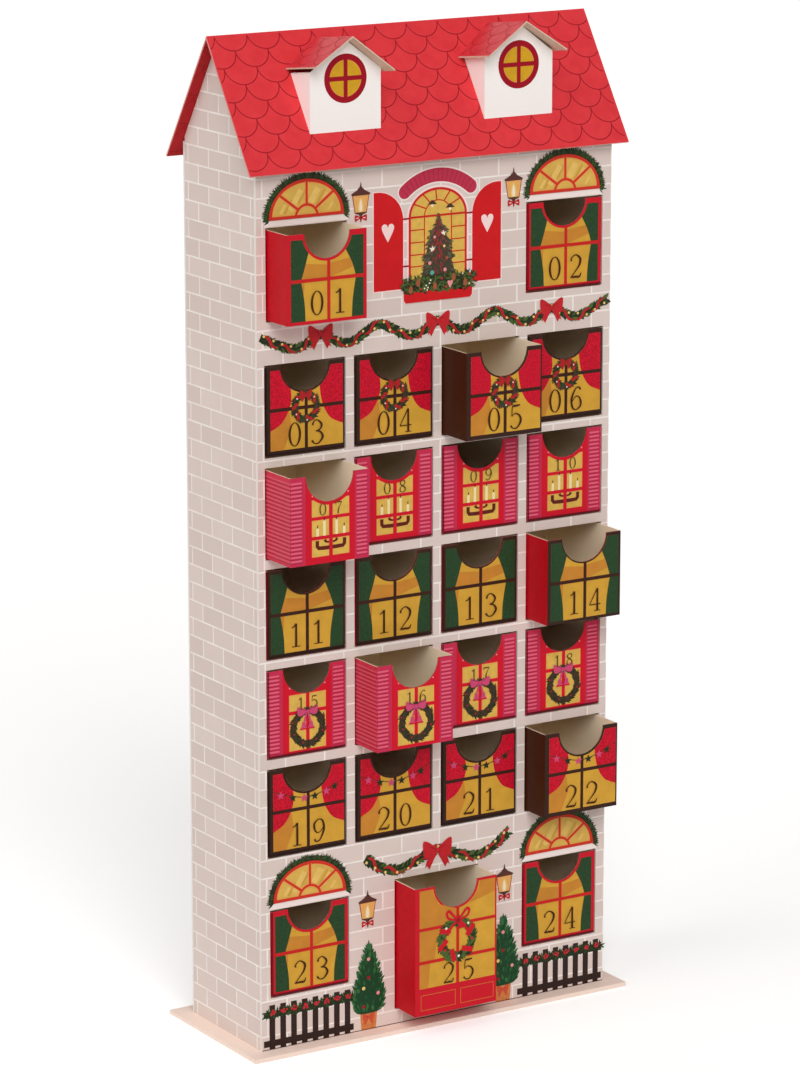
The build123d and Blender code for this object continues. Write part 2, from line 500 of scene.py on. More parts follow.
class Draft:
    """Flat shapes in printing inks, drawn in millimetres, that become one thin stacked mesh."""

    def __init__(self, name: str) -> None:
        """Starts an empty print.

        Args:
            name: The name of the piece that it becomes.
        """
        self.name = name
        self.curves: list[bpy.types.Object] = []

    def _curve(self, ink: Ink, level: float, flat: bool) -> bpy.types.Curve:
        """Adds a curve object in one ink at one level of the stack."""
        data = bpy.data.curves.new(self.name, "CURVE")
        data.dimensions = "2D" if flat else "3D"
        data.materials.append(ink.material())
        curve = bpy.data.objects.new(self.name, data)
        bpy.context.scene.collection.objects.link(curve)
        curve.location.z = level * LAYER * MM
        self.curves.append(curve)
        return data

    def fill(self, ink: Ink, outlines: Sequence[Line], level: float) -> None:
        """Fills outlines that don't cross. One that lies within another is a hole in it."""
        data = self._curve(ink, level, True)
        data.fill_mode = "BOTH"
        for outline in outlines:
            spline = data.splines.new("POLY")
            spline.points.add(len(outline) - 1)
            spline.use_cyclic_u = True
            for point, place in zip(spline.points, outline):
                point.co = (place[0] * MM, place[1] * MM, 0, 1)

    def stroke(self, ink: Ink, lines: Sequence[Line], level: float, closed: bool = False) -> None:
        """Draws ribbons along lines whose points are x, y and width. They may cross."""
        data = self._curve(ink, level, False)
        data.extrude = MM / 2
        data.twist_mode = "Z_UP"
        for index, line in enumerate(lines):
            spline = data.splines.new("POLY")
            spline.points.add(len(line) - 1)
            spline.use_cyclic_u = closed
            for point, place in zip(spline.points, line):
                point.co = (place[0] * MM, place[1] * MM, index % SLIVERS * SLIVER * MM, 1)
                point.radius = place[2]
                point.tilt = math.pi / 2

    def dots(self, ink: Ink, places: Sequence[Point], level: float, steps: int = 12) -> None:
        """Fills small discs, each given as x, y and radius."""
        self.fill(ink, [ring(x, y, radius, radius, steps) for x, y, radius in places], level)

    def build(self, place: Matrix) -> bpy.types.Object:
        """Makes the mesh and lays it in its place.

        Args:
            place: Where the print's own sheet lies.

        Returns:
            The finished piece, at the origin with its place in its mesh.
        """
        select_only(self.curves)
        bpy.ops.object.convert(target="MESH")
        bpy.ops.object.transform_apply(location=True, rotation=True, scale=True)
        bpy.ops.object.join()
        piece = bpy.context.view_layer.objects.active
        self.turn_up(piece)
        lay(piece, place)
        piece.name = self.name
        piece.data.name = self.name
        return piece

    @staticmethod
    def turn_up(piece: bpy.types.Object) -> None:
        """Turns over the faces of a flat mesh that look down."""
        bpy.ops.object.mode_set(mode="EDIT")
        bpy.ops.mesh.select_all(action="DESELECT")
        bpy.ops.object.mode_set(mode="OBJECT")
        for face in piece.data.polygons:
            face.select = face.normal.z < 0
        bpy.ops.object.mode_set(mode="EDIT")
        bpy.ops.mesh.select_mode(type="FACE")
        bpy.ops.mesh.flip_normals()
        bpy.ops.object.mode_set(mode="OBJECT")


def hand_over(piece: bpy.types.Object, body: str) -> None:
    """Lets a piece ride on a body and reports it."""
    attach(piece, body)
    log.info("%s rides on %s", piece.name, body)


@dataclass(frozen=True)
class BrickPrint:
    """Pale bricks with light joints, printed on one face of a board. The other faces are plain."""

    name: str
    axis: int
    sign: int
    brick_length: float = 28.4
    course: float = 11.6
    joint: float = 1.3
    first_joint: float = 16.3
    first_course: float = 464.6

    def material(self) -> bpy.types.Material:
        """Gives the board's material."""
        shader = Shader(self.name, 0.55)
        place = shader.place()
        across = place[1 - self.axis] - self.first_joint * MM
        up = place[2] - self.first_course * MM
        spot = shader.node("ShaderNodeCombineXYZ", inputs={0: across, 1: up})
        bricks = shader.node("ShaderNodeTexBrick", {"offset": 0.5, "squash": 1.0}, {
            "Vector": spot.outputs[0], "Scale": 1.0, "Bias": 0.0,
            "Mortar Size": self.joint / 2 * MM, "Mortar Smooth": 0.35,
            "Brick Width": self.brick_length * MM, "Row Height": self.course * MM,
            "Color1": rgba(219, 201, 192), "Color2": rgba(229, 212, 203), "Mortar": rgba(250, 242, 236)})
        clouds = shader.spread(shader.noise(14.0, 2.0), 0.35, 0.65)
        tinted = shader.mix(clouds * 0.35, bricks.outputs["Color"], rgba(222, 204, 198))
        outer = (shader.facing()[self.axis] * self.sign).over(0.5)
        edge = shader.mix(shader.noise(1.5), rgba(232, 222, 216), rgba(244, 237, 232))
        inner = shader.mix(shader.noise(2.0, 3.0), rgba(150, 122, 92), rgba(172, 142, 108))
        back = (shader.facing()[self.axis] * -self.sign).over(0.5)
        plain = shader.mix(back, edge, inner)
        return shader.card(shader.mix(outer, plain, tinted))


@dataclass(frozen=True)
class PlainCard:
    """Unprinted or evenly printed card with a faint cloudiness."""

    name: str
    red: int
    green: int
    blue: int
    spread: float = 0.04

    def material(self) -> bpy.types.Material:
        """Gives the card's material."""
        shader = Shader(self.name, 0.6)
        dark = rgba(self.red, self.green, self.blue, 1 - self.spread)
        light = rgba(self.red, self.green, self.blue, 1 + self.spread)
        return shader.card(shader.mix(shader.noise(2.5, 4.0), dark, light))


@dataclass(frozen=True)
class RoofPrint:
    """Bright red on top of a folded card, a deeper red below that is painted shade, and paler cut edges."""

    name: str
    # The underside's deeper red than the top is painted shade.
    underside: tuple[int, int, int] = (178, 30, 36)

    def material(self) -> bpy.types.Material:
        """Gives the roof card's material."""
        shader = Shader(self.name, 0.42)
        facing = shader.facing()
        top = shader.clouds(9.0, 2.0, rgba(216, 52, 59), rgba(224, 59, 65))
        # The darker colour of the underside is painted shade.
        under = rgba(*self.underside)
        cut = facing[0].size().over(0.9).either((facing[2] * -1).over(0.75))
        colour = shader.mix(facing[2].over(0.0), under, top)
        return shader.card(shader.mix(cut, colour, rgba(226, 150, 142)), 0.03, 0.8)


@dataclass(frozen=True)
class DormerRoofPrint:
    """Bright red above and cream below, for a small folded roof."""

    name: str

    def material(self) -> bpy.types.Material:
        """Gives the dormer roof's material."""
        shader = Shader(self.name, 0.38)
        facing = shader.facing()
        top = shader.clouds(7.0, 2.0, rgba(204, 44, 54), rgba(218, 62, 70))
        below = shader.mix(shader.noise(2.0), rgba(206, 182, 158), rgba(220, 198, 174))
        upper = facing[2].over(0.3)
        return shader.card(shader.mix(upper, below, top))


@dataclass(frozen=True)
class TrayCard:
    """A folded tray, printed outside and cream inside, which tells the two by which way a wall faces."""

    name: str
    middle: tuple[float, float]
    front: float
    outside: Ink
    # The colour of the cut edges is tinted towards the print and darker than the cream card; the darkening is
    # painted shade.
    edge: tuple[int, int, int]
    cut_reach: float = 1.05
    cut_shade: float = 0.86

    def material(self) -> bpy.types.Material:
        """Gives the tray's material."""
        shader = Shader(self.name, 0.5)
        place = shader.place()
        facing = shader.facing()
        outer = (facing[2] * -1).over(0.5)
        for axis, middle in enumerate(self.middle):
            outer = outer.either(((place[axis] - middle) * facing[axis]).over(0.02))
        cream = shader.mix(shader.noise(3.0, 4.0), rgba(255, 234, 202), rgba(255, 242, 217))
        print_side = shader.clouds(4.0, 3.0, self.outside.colour(0.93), self.outside.colour(1.07))
        dressed = shader.mix(outer, cream, print_side)
        # The cut edges of the front get a tinted colour that is darker than the card; the darkening is
        # painted shade.
        in_front = shader.math("LESS_THAN", place[1], self.front + CARD * self.cut_reach)
        cut = in_front * shader.math("LESS_THAN", facing[1].size(), 0.5) * (1 - outer)
        edge = shader.mix(shader.noise(1.5), rgba(*self.edge),
                          rgba(*(level * self.cut_shade for level in self.edge)))
        return shader.card(shader.mix(cut, dressed, edge))


def oval_numeral(width: float, height: float, thick: float, thin: float) -> list[Line]:
    """Gives the outlines of a nought, thick at its sides."""
    return [ring(width / 2, height / 2, width / 2, height / 2, 36),
            ring(width / 2, height / 2, width / 2 - thick, height / 2 - thin, 36)]


class Numerals:
    """Serif numerals, drawn with strokes that swell and thin.

    Each stroke is a list of x, y and weight, with x and y as shares of the numeral's width and height, and
    weight from 0, a hairline, to 1, a full stroke.
    """

    STROKES: dict[str, list[list[Point]]] = {
        "1": [[(0.52, 0.99, 0.9), (0.52, 0.02, 1.0)],
              [(0.16, 0.83, 0.1), (0.36, 0.88, 0.3), (0.52, 0.985, 0.5)],
              [(0.18, 0.012, 0.0), (0.86, 0.012, 0.0)]],
        "2": [[(0.10, 0.74, 0.9), (0.12, 0.86, 0.35), (0.46, 0.99, 0.15), (0.86, 0.82, 0.95),
               (0.80, 0.55, 0.8), (0.44, 0.28, 0.2), (0.05, 0.03, 0.1)],
              [(0.05, 0.045, 0.35), (0.45, 0.05, 0.75), (0.80, 0.05, 0.65), (0.94, 0.20, 0.05)]],
        "3": [[(0.13, 0.80, 0.9), (0.22, 0.93, 0.3), (0.50, 0.99, 0.15), (0.84, 0.80, 0.9),
               (0.72, 0.60, 0.5), (0.38, 0.53, 0.0)],
              [(0.38, 0.53, 0.0), (0.74, 0.48, 0.5), (0.93, 0.27, 1.0), (0.62, 0.03, 0.35),
               (0.28, 0.02, 0.15), (0.07, 0.15, 0.9)]],
        "4": [[(0.70, 0.99, 0.3), (0.03, 0.29, 0.05)], [(0.02, 0.285, 0.1), (0.98, 0.285, 0.1)],
              [(0.71, 0.98, 0.7), (0.71, 0.02, 1.0)], [(0.46, 0.012, 0.0), (0.96, 0.012, 0.0)]],
        "5": [[(0.22, 0.965, 0.6), (0.55, 0.965, 0.75), (0.86, 0.985, 0.3)],
              [(0.22, 0.97, 0.1), (0.17, 0.53, 0.1)],
              [(0.17, 0.53, 0.0), (0.46, 0.64, 0.15), (0.82, 0.53, 0.7), (0.92, 0.29, 1.0),
               (0.62, 0.03, 0.35), (0.28, 0.02, 0.15), (0.08, 0.14, 0.9)]],
        "6": [[(0.86, 0.86, 0.8), (0.74, 0.97, 0.25), (0.42, 0.90, 0.35), (0.11, 0.48, 1.0),
               (0.20, 0.12, 0.7), (0.50, 0.01, 0.1), (0.84, 0.14, 0.7), (0.90, 0.34, 0.9),
               (0.74, 0.55, 0.3), (0.46, 0.58, 0.05), (0.14, 0.38, 0.1)]],
        "7": [[(0.08, 0.76, 0.1), (0.12, 0.95, 0.5), (0.50, 0.95, 0.8), (0.95, 0.96, 0.3)],
              [(0.95, 0.96, 0.0), (0.62, 0.58, 0.25), (0.44, 0.28, 0.9), (0.42, 0.01, 1.0)]],
        "8": [[(0.50, 0.99, 0.1), (0.22, 0.90, 0.6), (0.18, 0.72, 0.9), (0.42, 0.57, 0.8),
               (0.78, 0.40, 0.9), (0.90, 0.22, 0.9), (0.72, 0.04, 0.4), (0.46, 0.01, 0.1),
               (0.16, 0.10, 0.5), (0.10, 0.26, 0.7), (0.30, 0.48, 0.1), (0.66, 0.60, 0.1),
               (0.84, 0.78, 0.6), (0.74, 0.94, 0.4), (0.50, 0.99, 0.1)]],
        "9": [[(0.14, 0.14, 0.8), (0.26, 0.03, 0.25), (0.58, 0.10, 0.35), (0.89, 0.52, 1.0),
               (0.80, 0.88, 0.7), (0.50, 0.99, 0.1), (0.16, 0.86, 0.7), (0.10, 0.66, 0.9),
               (0.26, 0.45, 0.3), (0.54, 0.42, 0.05), (0.86, 0.62, 0.1)]],
    }

    def __init__(self, width: float, height: float, thick: float, thin: float, ink: Ink) -> None:
        """Sets the size of the numerals.

        Args:
            width: A numeral's width in millimetres.
            height: Its height.
            thick: The width of a full stroke.
            thin: The width of a hairline.
            ink: The colour.
        """
        self.width = width
        self.height = height
        self.thick = thick
        self.thin = thin
        self.ink = ink

    def draw(self, draft: Draft, digit: str, left: float, low: float, level: float) -> None:
        """Draws one numeral with its lower left corner at left and low."""
        if digit == "0":
            outlines = oval_numeral(self.width, self.height, self.thick, self.thin)
            draft.fill(self.ink, [moved(outline, left, low) for outline in outlines], level)
            return
        lines = []
        for stroke in self.STROKES[digit]:
            sized = [(left + x * self.width, low + y * self.height,
                      self.thin + weight * (self.thick - self.thin))
                     for x, y, weight in stroke]
            lines.append(smooth(sized, 7) if len(sized) > 2 else sized)
        draft.stroke(self.ink, lines, level)


class Ornaments:
    """Traditional winter ornaments, each drawn into a draft."""

    # A turn of ribbon round a garland: how far along, how far across and how wide, as shares of its width.
    RIBBON_SHARES = ((-1.05, 0.4, 0.08), (-0.74, 0.6, 0.2), (-0.34, 0.5, 0.3), (0.0, 0.0, 0.32),
                     (0.34, -0.5, 0.3), (0.74, -0.6, 0.2), (1.05, -0.4, 0.08))

    def __init__(self, draft: Draft, seed: int) -> None:
        """Sets the draft to draw into, and the seed of the leaves' unevenness."""
        self.draft = draft
        self.random = random.Random(seed)

    def leaf(self, x: float, y: float, angle: float, length: float, width: float) -> Line:
        """Gives a pointed leaf that grows from x and y at an angle in radians."""
        step_x = math.cos(angle) * length / 3
        step_y = math.sin(angle) * length / 3
        widths = (width * 0.4, width, width * 0.75, width * 0.06)
        return [(x + step_x * index, y + step_y * index, each) for index, each in enumerate(widths)]

    def leaves(self, inks: Sequence[Ink], lines: Sequence[Line], level: float) -> None:
        """Draws leaves in several inks, by turns at random."""
        heaps: list[list[Line]] = [[] for _ in inks]
        for line in lines:
            self.random.choice(heaps).append(line)
        for index, (ink, heap) in enumerate(zip(inks, heaps)):
            if heap:
                self.draft.stroke(ink, heap, level + index)

    def bow(self, x: float, y: float, width: float, ink: Ink, dark: Ink, level: float,
            tall: float = 1.0) -> None:
        """Draws a ribbon bow, knotted at x and y. If it is less than one tall, it is flat and tailless."""
        draft = self.draft
        loop = [(0.0, 0.03), (0.18, 0.19), (0.38, 0.31), (0.49, 0.29), (0.49, 0.04), (0.44, -0.18),
                (0.31, -0.23), (0.13, -0.12)]
        loop = [(across, up * tall) for across, up in loop]
        tail = [(0.0, -0.03), (0.24, -0.12), (0.36, -0.28), (0.43, -0.50), (0.35, -0.44), (0.27, -0.56),
                (0.15, -0.34), (0.04, -0.16)]
        crease = [(0.07, 0.03, 0.015), (0.16, 0.08, 0.035), (0.30, 0.12, 0.01)]
        knot = ring(0, 0, 0.08, 0.075, 14)
        fold = [(0.085, -0.06, 0.02), (0.07, 0.07, 0.02)]
        for side in (1, -1) if tall == 1.0 else ():
            draft.fill(ink, [moved(on_side(tail, side), x, y, width)], level)
        for side in (1, -1):
            draft.fill(ink, [moved(smooth(on_side(loop, side), 5, True), x, y, width)], level + 1)
        for side in (1, -1):
            draft.stroke(dark, [moved(on_side(crease, side), x, y, width)], level + 2)
        draft.fill(ink, [moved(knot, x, y, width)], level + 3)
        draft.stroke(dark, [moved(on_side(fold, side), x, y, width) for side in SIDES], level + 4)

    def garland(self, points: Sequence[Point], width: float, level: float) -> None:
        """Draws a rope of leaves with a ribbon wound round it and small lights on it.

        Args:
            points: What the rope runs through.
            width: Its width, of which all its other sizes are shares.
            level: Its lowest level.
        """
        path = smooth(points, 14)
        self.draft.stroke(Ink.LEAF_DARK, [with_width(path, width * 0.78)], level)
        leaves, ribbons, lights = [], [], []
        walked, next_leaf, next_ribbon, next_light = 0.0, 0.0, width * 1.4, width * 0.4
        for (x, y), (next_x, next_y) in zip(path, path[1:]):
            walked += math.dist((x, y), (next_x, next_y))
            along = math.atan2(next_y - y, next_x - x)
            tangent = (math.cos(along), math.sin(along))
            normal = (-tangent[1], tangent[0])
            while next_leaf < walked:
                for side in SIDES:
                    turn = along + side * self.random.uniform(0.45, 0.95)
                    root = width * 0.12 * side
                    foot = (x + normal[0] * root, y + normal[1] * root)
                    leaves.append(self.leaf(*foot, turn, width * 0.62, width * 0.3))
                next_leaf += width * 0.19
            if next_ribbon < walked:
                cross = -0.5 * width if next_y > y else 0.5 * width
                ends = [(x + tangent[0] * width * go + normal[0] * cross * share,
                         y + tangent[1] * width * go + normal[1] * cross * share, width * wide)
                        for go, share, wide in self.RIBBON_SHARES]
                ribbons.append(smooth(ends, 4))
                next_ribbon += width * 2.1
            if next_light < walked:
                side = self.random.choice(SIDES) * width * 0.26
                lights.append((x + normal[0] * side, y + normal[1] * side, width * 0.14))
                next_light += width * 1.15
        self.leaves((Ink.LEAF, Ink.LEAF_LIGHT, Ink.LEAF_DARK), leaves, level + 1)
        self.draft.stroke(Ink.GARLAND_RIBBON, ribbons, level + 4)
        self.draft.dots(Ink.LIGHT, lights, level + 5, 10)

    def wreath(self, x: float, y: float, outer: float, inner: float, inks: Sequence[Ink],
               level: float) -> None:
        """Draws a round wreath of leaves with its middle at x and y."""
        middle = (outer + inner) / 2
        reach = outer - inner
        self.draft.fill(inks[0], [ring(x, y, outer - reach * 0.18, outer - reach * 0.18),
                                  ring(x, y, inner + reach * 0.15, inner + reach * 0.15)], level)
        leaves = []
        count = max(26, int(outer * 4))
        for index in range(count):
            angle = 2 * math.pi * index / count
            for lean in (0.65, -0.75, self.random.uniform(0.0, 0.5)):
                root = middle + self.random.uniform(-0.1, 0.15) * reach
                turn = angle + math.pi / 2 - lean * 1.3
                foot = (x + root * math.cos(angle), y + root * math.sin(angle))
                leaves.append(self.leaf(*foot, turn, reach * 0.55, reach * 0.2))
        self.leaves(inks, leaves, level + 1)

    def wraps(self, x: float, y: float, outer: float, inner: float, angles: Sequence[float], width: float,
              ink: Ink, level: float) -> None:
        """Draws bands of ribbon that cross a wreath aslant, at angles in degrees."""
        crossing = ((inner, -1.9 / outer), (inner * 0.6 + outer * 0.4, -1.2 / outer),
                    (inner * 0.4 + outer * 0.6, 1.2 / outer), (outer, 1.9 / outer))
        bands = []
        for angle in angles:
            turn = math.radians(angle)
            bands.append([(x + reach * math.cos(turn + lean), y + reach * math.sin(turn + lean), width)
                          for reach, lean in crossing])
        self.draft.stroke(ink, bands, level)

    def lantern(self, x: float, top: float, level: float) -> None:
        """Draws a hanging lantern with a candle, whose spike ends at x and top."""
        draft = self.draft
        cap = whole([(1.0, -2.9), (1.1, -3.6), (2.0, -3.9), (2.3, -4.7), (4.6, -5.9), (7.0, -7.2),
                     (6.3, -8.1)])
        glass = [(-5.9, -8.0), (5.9, -8.0), (4.1, -19.0), (-4.1, -19.0)]
        foot = whole([(4.6, -18.6), (3.2, -19.6), (1.6, -20.0), (0.9, -21.0)])
        glow = smooth(whole([(0, -9.6), (1.6, -13.2), (1.7, -18.2)]), 5, True)
        flame = smooth(whole([(0, -11.0), (0.9, -14.0), (0.8, -17.6)]), 5, True)
        spike = [(0, 0, 0.25), (0, -1.6, 0.9), (0, -3.2, 1.2)]
        corners = [(0.4, -22.0), (2.0, -20.7), (4.0, -20.2), (4.4, -22.0), (4.1, -24.2), (2.4, -23.6)]
        loop = smooth(corners, 4, True)
        crease = [(1.6, -22.0, 0.3), (3.2, -22.2, 0.7)]
        tie = [(0, -21.0, 1.6), (0, -23.0, 1.3), (0, -24.8, 0.4)]
        for ink, shape, height in ((Ink.GLASS, glass, 0), (Ink.LIGHT, glow, 1), (Ink.CREAM, flame, 2),
                                   (Ink.LANTERN, cap, 4), (Ink.LANTERN, foot, 4)):
            draft.fill(ink, [moved(shape, x, top)], level + height)
        draft.stroke(Ink.GLASS_EDGE, [moved(with_width(glass + glass[:1], 0.7), x, top)], level + 3)
        draft.stroke(Ink.LANTERN, [moved(spike, x, top)], level + 4)
        for side in SIDES:
            draft.fill(Ink.RIBBON, [moved(on_side(loop, side), x, top)], level + 5)
            draft.stroke(Ink.CREAM, [moved(on_side(crease, side), x, top)], level + 6)
        draft.stroke(Ink.RIBBON_DARK, [moved(tie, x, top)], level + 7)

    def shrub(self, x: float, low: float, height: float, half: float, level: float) -> None:
        """Draws a leafy pointed tree, widest near its foot, with baubles and with its foot at x and low."""
        leaf_total = 110
        shape = [(0.0, 1.0), (0.1, 0.93), (0.28, 0.84), (0.45, 0.74), (0.62, 0.62), (0.72, 0.5), (0.86, 0.38),
                 (0.95, 0.26), (0.98, 0.15), (0.88, 0.05), (0.5, 0.0)]
        right = [(x + half * 0.88 * share, low + height * 0.95 * up) for share, up in shape]
        self.draft.fill(Ink.TREE_DARK, [smooth(whole(right, x), 3, True)], level)
        leaves = [self.leaf(x, low + height * 0.9, math.pi / 2 + lean, height * reach, 1.5)
                  for lean, reach in ((0.0, 0.13), (0.35, 0.08), (-0.4, 0.085))]
        for (share, up), (next_share, next_up) in zip(shape, shape[1:]):
            for step in range(3):
                go = step / 3
                reach, rise = share + (next_share - share) * go, up + (next_up - up) * go
                for side in SIDES:
                    turn = math.pi / 2 - side * self.random.uniform(0.3, 0.95)
                    size = self.random.uniform(0.055, 0.1)
                    foot = (x + side * half * 0.82 * reach, low + height * 0.93 * rise)
                    leaves.append(self.leaf(*foot, turn, height * size, half * 0.13))
        for _ in range(leaf_total):
            share, up = self.random.choice(shape[1:-1])
            reach = half * share * self.random.uniform(-0.8, 0.8)
            rise = low + height * min(0.9, max(0.03, up + self.random.uniform(-0.08, 0.06)))
            turn = math.pi / 2 - reach / half * self.random.uniform(0.4, 0.9)
            leaves.append(self.leaf(x + reach, rise, turn, height * 0.07, half * 0.09))
        self.leaves((Ink.TREE, Ink.TREE_DARK, Ink.TREE, Ink.TREE_LIGHT), leaves, level + 1)
        baubles = ((-0.02, 0.76, Ink.ROSE), (-0.02, 0.5, Ink.RIBBON_DARK), (-0.3, 0.36, Ink.LIGHT),
                  (0.52, 0.26, Ink.ROSE), (-0.3, 0.1, Ink.RIBBON_DARK))
        for across, up, ink in baubles:
            self.draft.dots(ink, [(x + across * half, low + up * height, 1.25)], level + 6)

    def pot(self, x: float, low: float, high: float, level: float) -> None:
        """Draws a clay pot with a painted bow."""
        self.draft.fill(Ink.POT, [whole([(x + 6.2, high), (x + 6.2, high - 3.0), (x + 5.4, low)], x)], level)
        self.bow(x, high - 4.0, 9.0, Ink.POT_BOW, Ink.RIBBON, level + 1)

    def fence(self, left: float, right: float, level: float) -> None:
        """Draws a picket fence with sprays of holly and berries."""
        pickets, half_picket, foot, tip = 8, 2.1, 3.2, 32.6
        rails = ((5.0, 9.3), (24.4, 28.4))
        spray, spray_rise = 27.4, 0.12
        first, last = left + 6.2, right - 4.6
        middles = [first + (last - first) / (pickets - 1) * index for index in range(pickets)]
        boards = [rectangle(x - half_picket, x + half_picket, foot, tip) for x in middles]
        self.draft.fill(Ink.FENCE, boards, level)
        self.draft.fill(Ink.FENCE, [rectangle(left, right, *rail) for rail in rails], level + 1)
        leaves, berries = [], []
        for index, x in enumerate(middles):
            lift = spray + index * spray_rise
            for step in range(5):
                for turn in (0.5, 2.4, -2.3, 3.7, -0.7, 1.4):
                    lean = turn + self.random.uniform(-0.3, 0.3)
                    leaves.append(self.leaf(x - 4.0 + step * 1.9, lift - 0.8, lean, 4.4, 1.25))
            for turn in (0.4, 1.7, 2.9, 4.1, 5.3):
                reach = self.random.uniform(0.7, 2.3)
                berry = (x + 0.6 + reach * math.cos(turn), lift + 0.7 * reach * math.sin(turn))
                berries.append((*berry, self.random.uniform(0.7, 0.95)))
        self.leaves((Ink.LEAF, Ink.LEAF_DARK), leaves, level + 2)
        for index, berry in enumerate(berries):
            self.draft.dots(Ink.RIBBON if index % 3 else Ink.HOLLY, [berry], level + 4 + index % 5 * 0.3, 9)

    def heart(self, x: float, y: float, width: float, ink: Ink, level: float) -> None:
        """Draws a heart whose notch is at x and y."""
        half = [(0.0, 0.0), (0.1, 0.2), (0.3, 0.26), (0.48, 0.12), (0.46, -0.16), (0.26, -0.56), (0.0, -1.0)]
        self.draft.fill(ink, [moved(whole(smooth(half, 5)), x, y, width)], level)

    def star(self, x: float, y: float, size: float, ink: Ink, level: float) -> None:
        """Draws a five-pointed star."""
        points = []
        for index in range(10):
            reach = size if index % 2 == 0 else size * 0.45
            angle = math.pi / 2 + index * math.pi / 5
            points.append((x + reach * math.cos(angle), y + reach * math.sin(angle)))
        self.draft.fill(ink, [points], level)


def slat_heights(drop: float = 0.0) -> list[float]:
    """Gives how high the slats of a louvred drawer are, or lines that are a share of their pitch lower."""
    return [SLAT_FOOT + (index - drop) * SLAT_PITCH for index in range(SLATS)]


def slat_lines(left: float, right: float, width: float, drop: float = 0.0) -> list[Line]:
    """Gives a level line for each slat of a louvred drawer, in millimetres from its underside.

    Args:
        left: Where the lines start.
        right: Where they end.
        width: How wide they are.
        drop: How far below the middle of its slat a line lies, as a share of the slats' pitch.

    Returns:
        The lines.
    """
    return [[(left, up, width), (right, up, width)] for up in slat_heights(drop)]


class Kind(Enum):
    """The prints that a drawer front can have."""

    RED_WINDOW = "red window with green curtains"
    WREATH_WINDOW = "brown window with red curtains and a wreath"
    CANDLE_LOUVRES = "louvred shutters and candles"
    BROWN_WINDOW = "brown window with green curtains"
    WREATH_LOUVRES = "louvred shutters and a wreath"
    BUNTING_WINDOW = "brown window with red curtains and bunting"
    DOOR = "house door"


KIND_OF_NUMBER = {
    **{number: Kind.RED_WINDOW for number in (1, 2, 23, 24)},
    **{number: Kind.WREATH_WINDOW for number in range(3, 7)},
    **{number: Kind.CANDLE_LOUVRES for number in range(7, 11)},
    **{number: Kind.BROWN_WINDOW for number in range(11, 15)},
    **{number: Kind.WREATH_LOUVRES for number in range(15, 19)},
    **{number: Kind.BUNTING_WINDOW for number in range(19, 23)},
    25: Kind.DOOR,
}
LOUVRED_KINDS = (Kind.CANDLE_LOUVRES, Kind.WREATH_LOUVRES)
BROWN_SIDED_KINDS = (Kind.WREATH_WINDOW, Kind.BUNTING_WINDOW)
# How far right of a front's middle its print is centred, where that isn't as usual.
PRINT_MIDDLES = {Kind.RED_WINDOW: 1.0, Kind.DOOR: 1.2}


